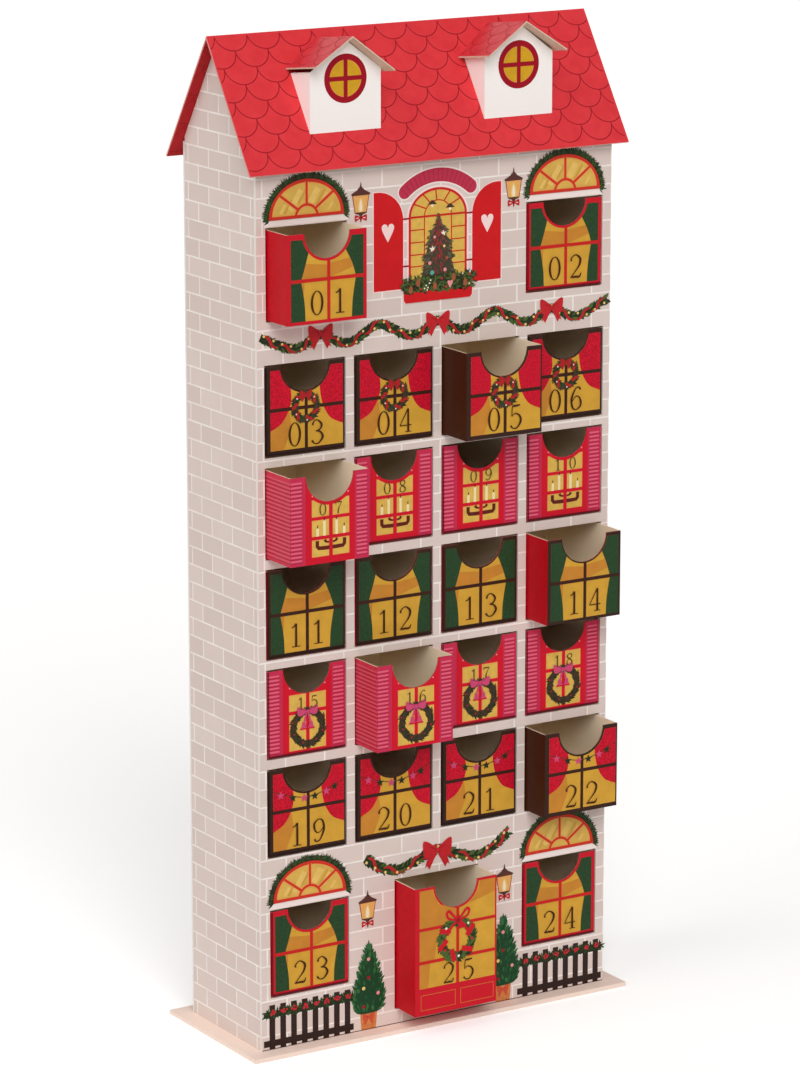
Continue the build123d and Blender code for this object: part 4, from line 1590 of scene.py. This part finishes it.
    def make(self) -> None:
        """Makes every print of the front wall, and a dark line along its foot that is painted shadow."""
        low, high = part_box("house_front")
        wall = facing_front(0, low.y, 0)
        # A dark line along the foot of the wall is painted shadow of the gap between the wall and the base.
        foot = with_width([(low.x / MM + 0.2, 3.3), (high.x / MM - 0.2, 3.3)], 0.5)
        parts: dict[str, Callable[[Ornaments], None]] = {
            "window_print": self.window,
            "left_shutter_print": partial(self.shutter, side=-1),
            "right_shutter_print": partial(self.shutter, side=1),
            "upper_garland_print": self.upper_garland,
            "lower_garland_print": self.lower_garland,
            "lantern_prints": self.lanterns,
            "potted_tree_prints": self.potted_trees,
            "left_fence_print": lambda ornaments: ornaments.fence(-128.6, -62.4, 1),
            "right_fence_print": lambda ornaments: ornaments.fence(62.4, 128.6, 1),
            "wall_foot_painted_shadow": lambda ornaments: ornaments.draft.stroke(Ink.LANTERN, [foot], 1),
        }
        for number, side, top in ((1, -1, self.upper_doorway_top), (2, 1, self.upper_doorway_top),
                                  (23, -1, self.lower_doorway_top), (24, 1, self.lower_doorway_top)):
            x = side * self.doorway_x
            parts[f"fanlight_{number:02d}_print"] = partial(self.fanlight, x=x, doorway_top=top)
        for seed, (name, draw) in enumerate(parts.items(), start=1):
            draft = Draft(name)
            draw(Ornaments(draft, seed))
            hand_over(draft.build(wall), "case")

    def upper_garland(self, ornaments: Ornaments) -> None:
        """Prints the garland with three bows."""
        points = []
        for x in (-85, 0, 85):
            points += [(x - 42.6, 460.6), (x - 24, 452.3), (x - 13, 452.6), (x, 458.4), (x + 13, 452.6),
                       (x + 24, 452.3)]
        points.append((127.6, 460.6))
        ornaments.garland(points, 6.2, 1)
        for x in (-85, 0, 85):
            ornaments.bow(x, 459.0, 17.5, Ink.RIBBON, Ink.RIBBON_DARK, 8)

    def lower_garland(self, ornaments: Ornaments) -> None:
        """Prints the garland over the door."""
        points = [(-53.6, 117.6), (-40, 108.6), (-27, 106.6), (-13, 110.8), (0, 115.0), (13, 110.6),
                  (27, 106.2), (40, 108.4), (54.6, 117.6)]
        ornaments.garland(points, 7.0, 1)
        ornaments.bow(0.4, 114.6, 22.0, Ink.RIBBON, Ink.RIBBON_DARK, 8)

    def lanterns(self, ornaments: Ornaments) -> None:
        """Prints the four lanterns."""
        for x, top in ((-55.9, 550.2), (55.9, 550.2), (-51.9, 96.4), (51.9, 96.4)):
            ornaments.lantern(x, top, 1)

    def potted_trees(self, ornaments: Ornaments) -> None:
        """Prints the trees beside the door."""
        for x in (-51.2, 51.2):
            ornaments.pot(x, 3.3, 15.4, 1)
            ornaments.shrub(x, 14.2, 47.6, 13.2, 6)


@dataclass
class Roofs:
    """The scallops on the roofs and the round windows of the dormers."""

    pitch: float = 56.65
    roof_card: float = 1.2
    scale_width: float = 22.8
    row_height: float = 11.44
    line: float = 0.62
    eave_band: float = 3.1
    first_cusp: float = 5.1
    dormer_scale: float = 0.8
    dormer_tilt: float = 7.0
    round_window_height: float = 0.6136

    def scallops(self, draft: Draft, ink: Ink, outline: Line, scale: float = 1.0) -> None:
        """Draws rows of scales over a sheet whose outline turns to the left, right of and above zero.

        Args:
            draft: The print.
            ink: The colour of the lines.
            outline: The corners of the sheet.
            scale: The size of the scales as a share of the roof's.
        """
        across = self.scale_width * scale
        rise = self.row_height * scale
        width, height = (max(point[axis] for point in outline) for axis in (0, 1))
        lines = []
        for row in range(math.ceil((height - self.eave_band) / rise)):
            top = self.eave_band * scale + (row + 1) * rise
            start = self.first_cusp - across * (0.5 if row % 2 else 1.0)
            for index in range(math.ceil(width / across) + 2):
                curve = arc(start + index * across, top, across / 2, rise * 0.98, 180, 360)
                lines += self.clipped(curve, outline)
        draft.stroke(ink, lines, 1)

    def clipped(self, curve: Line, outline: Line) -> list[Line]:
        """Keeps the stretches of a curve that lie on a sheet.

        Args:
            curve: The points of the curve.
            outline: The corners of the sheet, which turn to the left.

        Returns:
            The stretches, with the line's width on each point.
        """
        sides = [(start, end, self.line / 2 * math.dist(start, end))
                 for start, end in zip(outline, outline[1:] + outline[:1])]
        stretches: list[Line] = [[]]
        for x, y in curve:
            if all((end[0] - start[0]) * (y - start[1]) - (end[1] - start[1]) * (x - start[0]) >= least
                   for start, end, least in sides):
                stretches[-1].append((x, y, self.line))
            elif stretches[-1]:
                stretches.append([])
        return [stretch for stretch in stretches if len(stretch) > 1]

    def main_roof(self) -> None:
        """Prints the scales on both slopes of the roof, above and below."""
        low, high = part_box("roof")
        turn = math.radians(self.pitch)
        depth = high.y
        eave = high.z - depth * math.tan(turn)
        slope = depth / math.cos(turn) / MM
        underside = slope - self.roof_card * (1 + math.tan(turn))
        for name, side in (("front", -1), ("back", 1)):
            left, right = (low.x, high.x) if side < 0 else (high.x, low.x)
            up = (0, -side * math.cos(turn), math.sin(turn))
            inwards = Vector((0, -side * math.sin(turn), -math.cos(turn))) * self.roof_card * MM
            for part, x, way, length, shift in (("scales", left, -side, slope, Vector()),
                                                ("underside_scales", right, side, underside, inwards)):
                draft = Draft(f"roof_{name}_{part}")
                self.scallops(draft, Ink.SCALLOP, rectangle(0, (high.x - low.x) / MM, 0, length))
                start = Vector((x, side * depth, eave)) + shift
                hand_over(draft.build(sheet(start, (way, 0, 0), up)), "case")

    def round_window(self, node: str) -> None:
        """Prints the round window on a dormer's face."""
        low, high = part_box(node)
        draft = Draft(f"{node}_window_print")
        for level, (ink, radius, steps) in enumerate(((Ink.DORMER_RED, 15.1, 44), (Ink.PANE_EDGE, 11.4, 40),
                                                      (Ink.DORMER_GOLD, 11.0, 40)), start=1):
            draft.fill(ink, [ring(0, 0, radius, radius, steps)], level)
        reach, bar = 11.6, 2.8
        bars = [[(-reach, 0, bar), (reach, 0, bar)], [(0, -reach, bar), (0, reach, bar)]]
        draft.stroke(Ink.DORMER_RED, bars, 4)
        middle = (low.x + high.x) / 2
        hand_over(draft.build(facing_front(middle, low.y, self.round_window_height)), "case")

    def dormer_scales(self, node: str) -> None:
        """Prints small scales on both slopes of a dormer's roof, found by the way their faces look."""
        mesh = frame["nodes"][node].data
        tilt = math.radians(self.dormer_tilt)
        back = Vector((0, math.cos(tilt), -math.sin(tilt)))
        for name, side in (("left", -1), ("right", 1)):
            faces = [face for face in mesh.polygons if face.normal.x * side > 0.4 and face.normal.z > 0.6]
            spots = [mesh.vertices[index].co for face in faces for index in face.vertices]
            normal = max(faces, key=lambda face: face.area).normal
            across = back * side
            up = normal.cross(across)
            first, low = (min(spot.dot(way) for spot in spots) for way in (across, up))
            flat = [((spot.dot(across) - first) / MM, (spot.dot(up) - low) / MM) for spot in spots]
            corners = [flat[index] for index in convex_hull_2d(flat)]
            turn = sum(a[0] * b[1] - b[0] * a[1] for a, b in zip(corners, corners[1:] + corners[:1]))
            outline = corners if turn > 0 else corners[::-1]
            draft = Draft(f"{node}_{name}_scales")
            self.scallops(draft, Ink.DORMER_SCALLOP, outline, self.dormer_scale)
            start = across * first + up * low + normal * spots[0].dot(normal)
            hand_over(draft.build(sheet(start, across, up)), "case")

    def make(self) -> None:
        """Makes every print of the roofs."""
        self.main_roof()
        for side in ("left", "right"):
            self.round_window(f"{side}_dormer_body")
            self.dormer_scales(f"{side}_dormer_roof")


class CaseCard:
    """The finishes of the fixed boards and cards."""

    def make(self) -> None:
        """Gives every fixed node its material."""
        inside = PlainCard("inner_board", 152, 102, 64)
        finishes = {
            "base_board": PlainCard("base_board_print", 248, 225, 211),
            "house_front": BrickPrint("front_bricks", 1, -1),
            "back_wall": BrickPrint("back_bricks", 1, 1),
            "left_gable_wall": BrickPrint("left_bricks", 0, -1, brick_length=25.6, first_joint=0.0),
            "right_gable_wall": BrickPrint("right_bricks", 0, 1, brick_length=25.6, first_joint=0.0),
            "roof": RoofPrint("roof_red"),
            "left_dormer_roof": DormerRoofPrint("dormer_red"),
            "right_dormer_roof": DormerRoofPrint("dormer_red"),
            "left_dormer_body": PlainCard("dormer_white", 255, 249, 245, 0.01),
            "right_dormer_body": PlainCard("dormer_white", 255, 249, 245, 0.01),
        }
        made: dict[str, bpy.types.Material] = {}
        for node in frame["record"]["behaviour"]["bodies"]["case"]:
            finish = finishes.get(node, inside)
            if finish.name not in made:
                made[finish.name] = finish.material()
            dress(node, made[finish.name])
            log.info("%s is finished as %s", node, finish.name)


@dataclass(frozen=True)
class Sun:
    """A soft light from far away, with its angles in degrees and its azimuth counted as the camera's."""

    name: str
    strength: float
    spread: float
    azimuth: float
    elevation: float
    distance: float = 3.0

    def add(self) -> None:
        """Adds the light."""
        back = towards(self.azimuth, self.elevation)
        bpy.ops.object.light_add(type="SUN", location=back * self.distance)
        lamp = bpy.context.object
        lamp.name = self.name
        lamp.data.energy = self.strength
        lamp.data.angle = math.radians(self.spread)
        lamp.rotation_euler = back.to_track_quat("Z", "Y").to_euler()


@dataclass
class Studio:
    """The floor, the lights and the camera."""

    azimuth: float = -31.898
    elevation: float = 13.384
    distance: float = 2.8198
    lens: float = 148.74
    aim_across: float = 0.00011
    aim_up: float = 0.31265
    sky: float = 0.25
    suns: tuple[Sun, ...] = (
        Sun("key_light", 1.64, 35.0, -22.0, 38.0),
        Sun("fill_light", 0.85, 45.0, -88.0, 35.0),
    )
    floor_half: float = 30.0
    floor_glow: float = 0.34

    def floor(self) -> None:
        """Adds the pale floor, which glows a little for the camera alone."""
        bpy.ops.object.select_all(action="DESELECT")
        bpy.ops.mesh.primitive_plane_add(size=2 * self.floor_half, location=(0, 0, 0))
        ground = bpy.context.object
        ground.name = "floor"
        shader = Shader("floor_white", 0.9)
        shader.put(shader.surface.inputs["Base Color"], rgba(250, 249, 248))
        seen = shader.node("ShaderNodeLightPath")
        glossy = Value(shader, seen.outputs["Is Glossy Ray"])
        shown = Value(shader, seen.outputs["Is Camera Ray"]).either(glossy)
        glow = shader.mix(shown, (0.0, 0.0, 0.0, 1.0), (*[self.floor_glow] * 3, 1.0))
        shader.put(shader.surface.inputs["Emission Color"], glow)
        shader.put(shader.surface.inputs["Emission Strength"], 1.0)
        ground.data.materials.append(shader.material)

    def world(self) -> None:
        """Lights the scene all round and shows white behind it."""
        world = bpy.data.worlds.new("studio")
        bpy.context.scene.world = world
        world.use_nodes = True
        tree = world.node_tree
        tree.nodes.clear()
        seen = tree.nodes.new("ShaderNodeLightPath")
        either = tree.nodes.new("ShaderNodeMath")
        either.operation = "MAXIMUM"
        tree.links.new(seen.outputs["Is Camera Ray"], either.inputs[0])
        tree.links.new(seen.outputs["Is Glossy Ray"], either.inputs[1])
        level = tree.nodes.new("ShaderNodeMapRange")
        level.inputs[3].default_value = self.sky
        level.inputs[4].default_value = 1.0
        tree.links.new(either.outputs[0], level.inputs[0])
        light = tree.nodes.new("ShaderNodeBackground")
        light.inputs["Color"].default_value = (1.0, 0.985, 0.965, 1.0)
        tree.links.new(level.outputs[0], light.inputs["Strength"])
        output = tree.nodes.new("ShaderNodeOutputWorld")
        tree.links.new(light.outputs[0], output.inputs["Surface"])

    def camera(self) -> None:
        """Sets the camera at the photograph's viewing angle."""
        turn = math.radians(self.azimuth)
        back = towards(self.azimuth, self.elevation)
        right = Vector((math.cos(turn), math.sin(turn), 0))
        aim = right * self.aim_across + Vector((0, 0, self.aim_up))
        bpy.ops.object.camera_add(location=aim + back * self.distance)
        camera = bpy.context.object
        camera.name = "camera"
        camera.rotation_euler = back.to_track_quat("Z", "Y").to_euler()
        camera.data.lens = self.lens
        camera.data.sensor_width = 36.0
        camera.data.clip_end = 200.0
        bpy.context.scene.camera = camera

    def make(self) -> None:
        """Makes the whole studio."""
        self.floor()
        for sun in self.suns:
            sun.add()
        self.world()
        self.camera()
        bpy.context.scene.view_settings.view_transform = "Standard"


def main() -> None:
    """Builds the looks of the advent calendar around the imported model."""
    logging.basicConfig(level=logging.INFO, format="%(message)s")
    Studio().make()
    CaseCard().make()
    Drawers().make()
    HouseFront().make()
    Roofs().make()


if __name__ == "__main__":
    main()
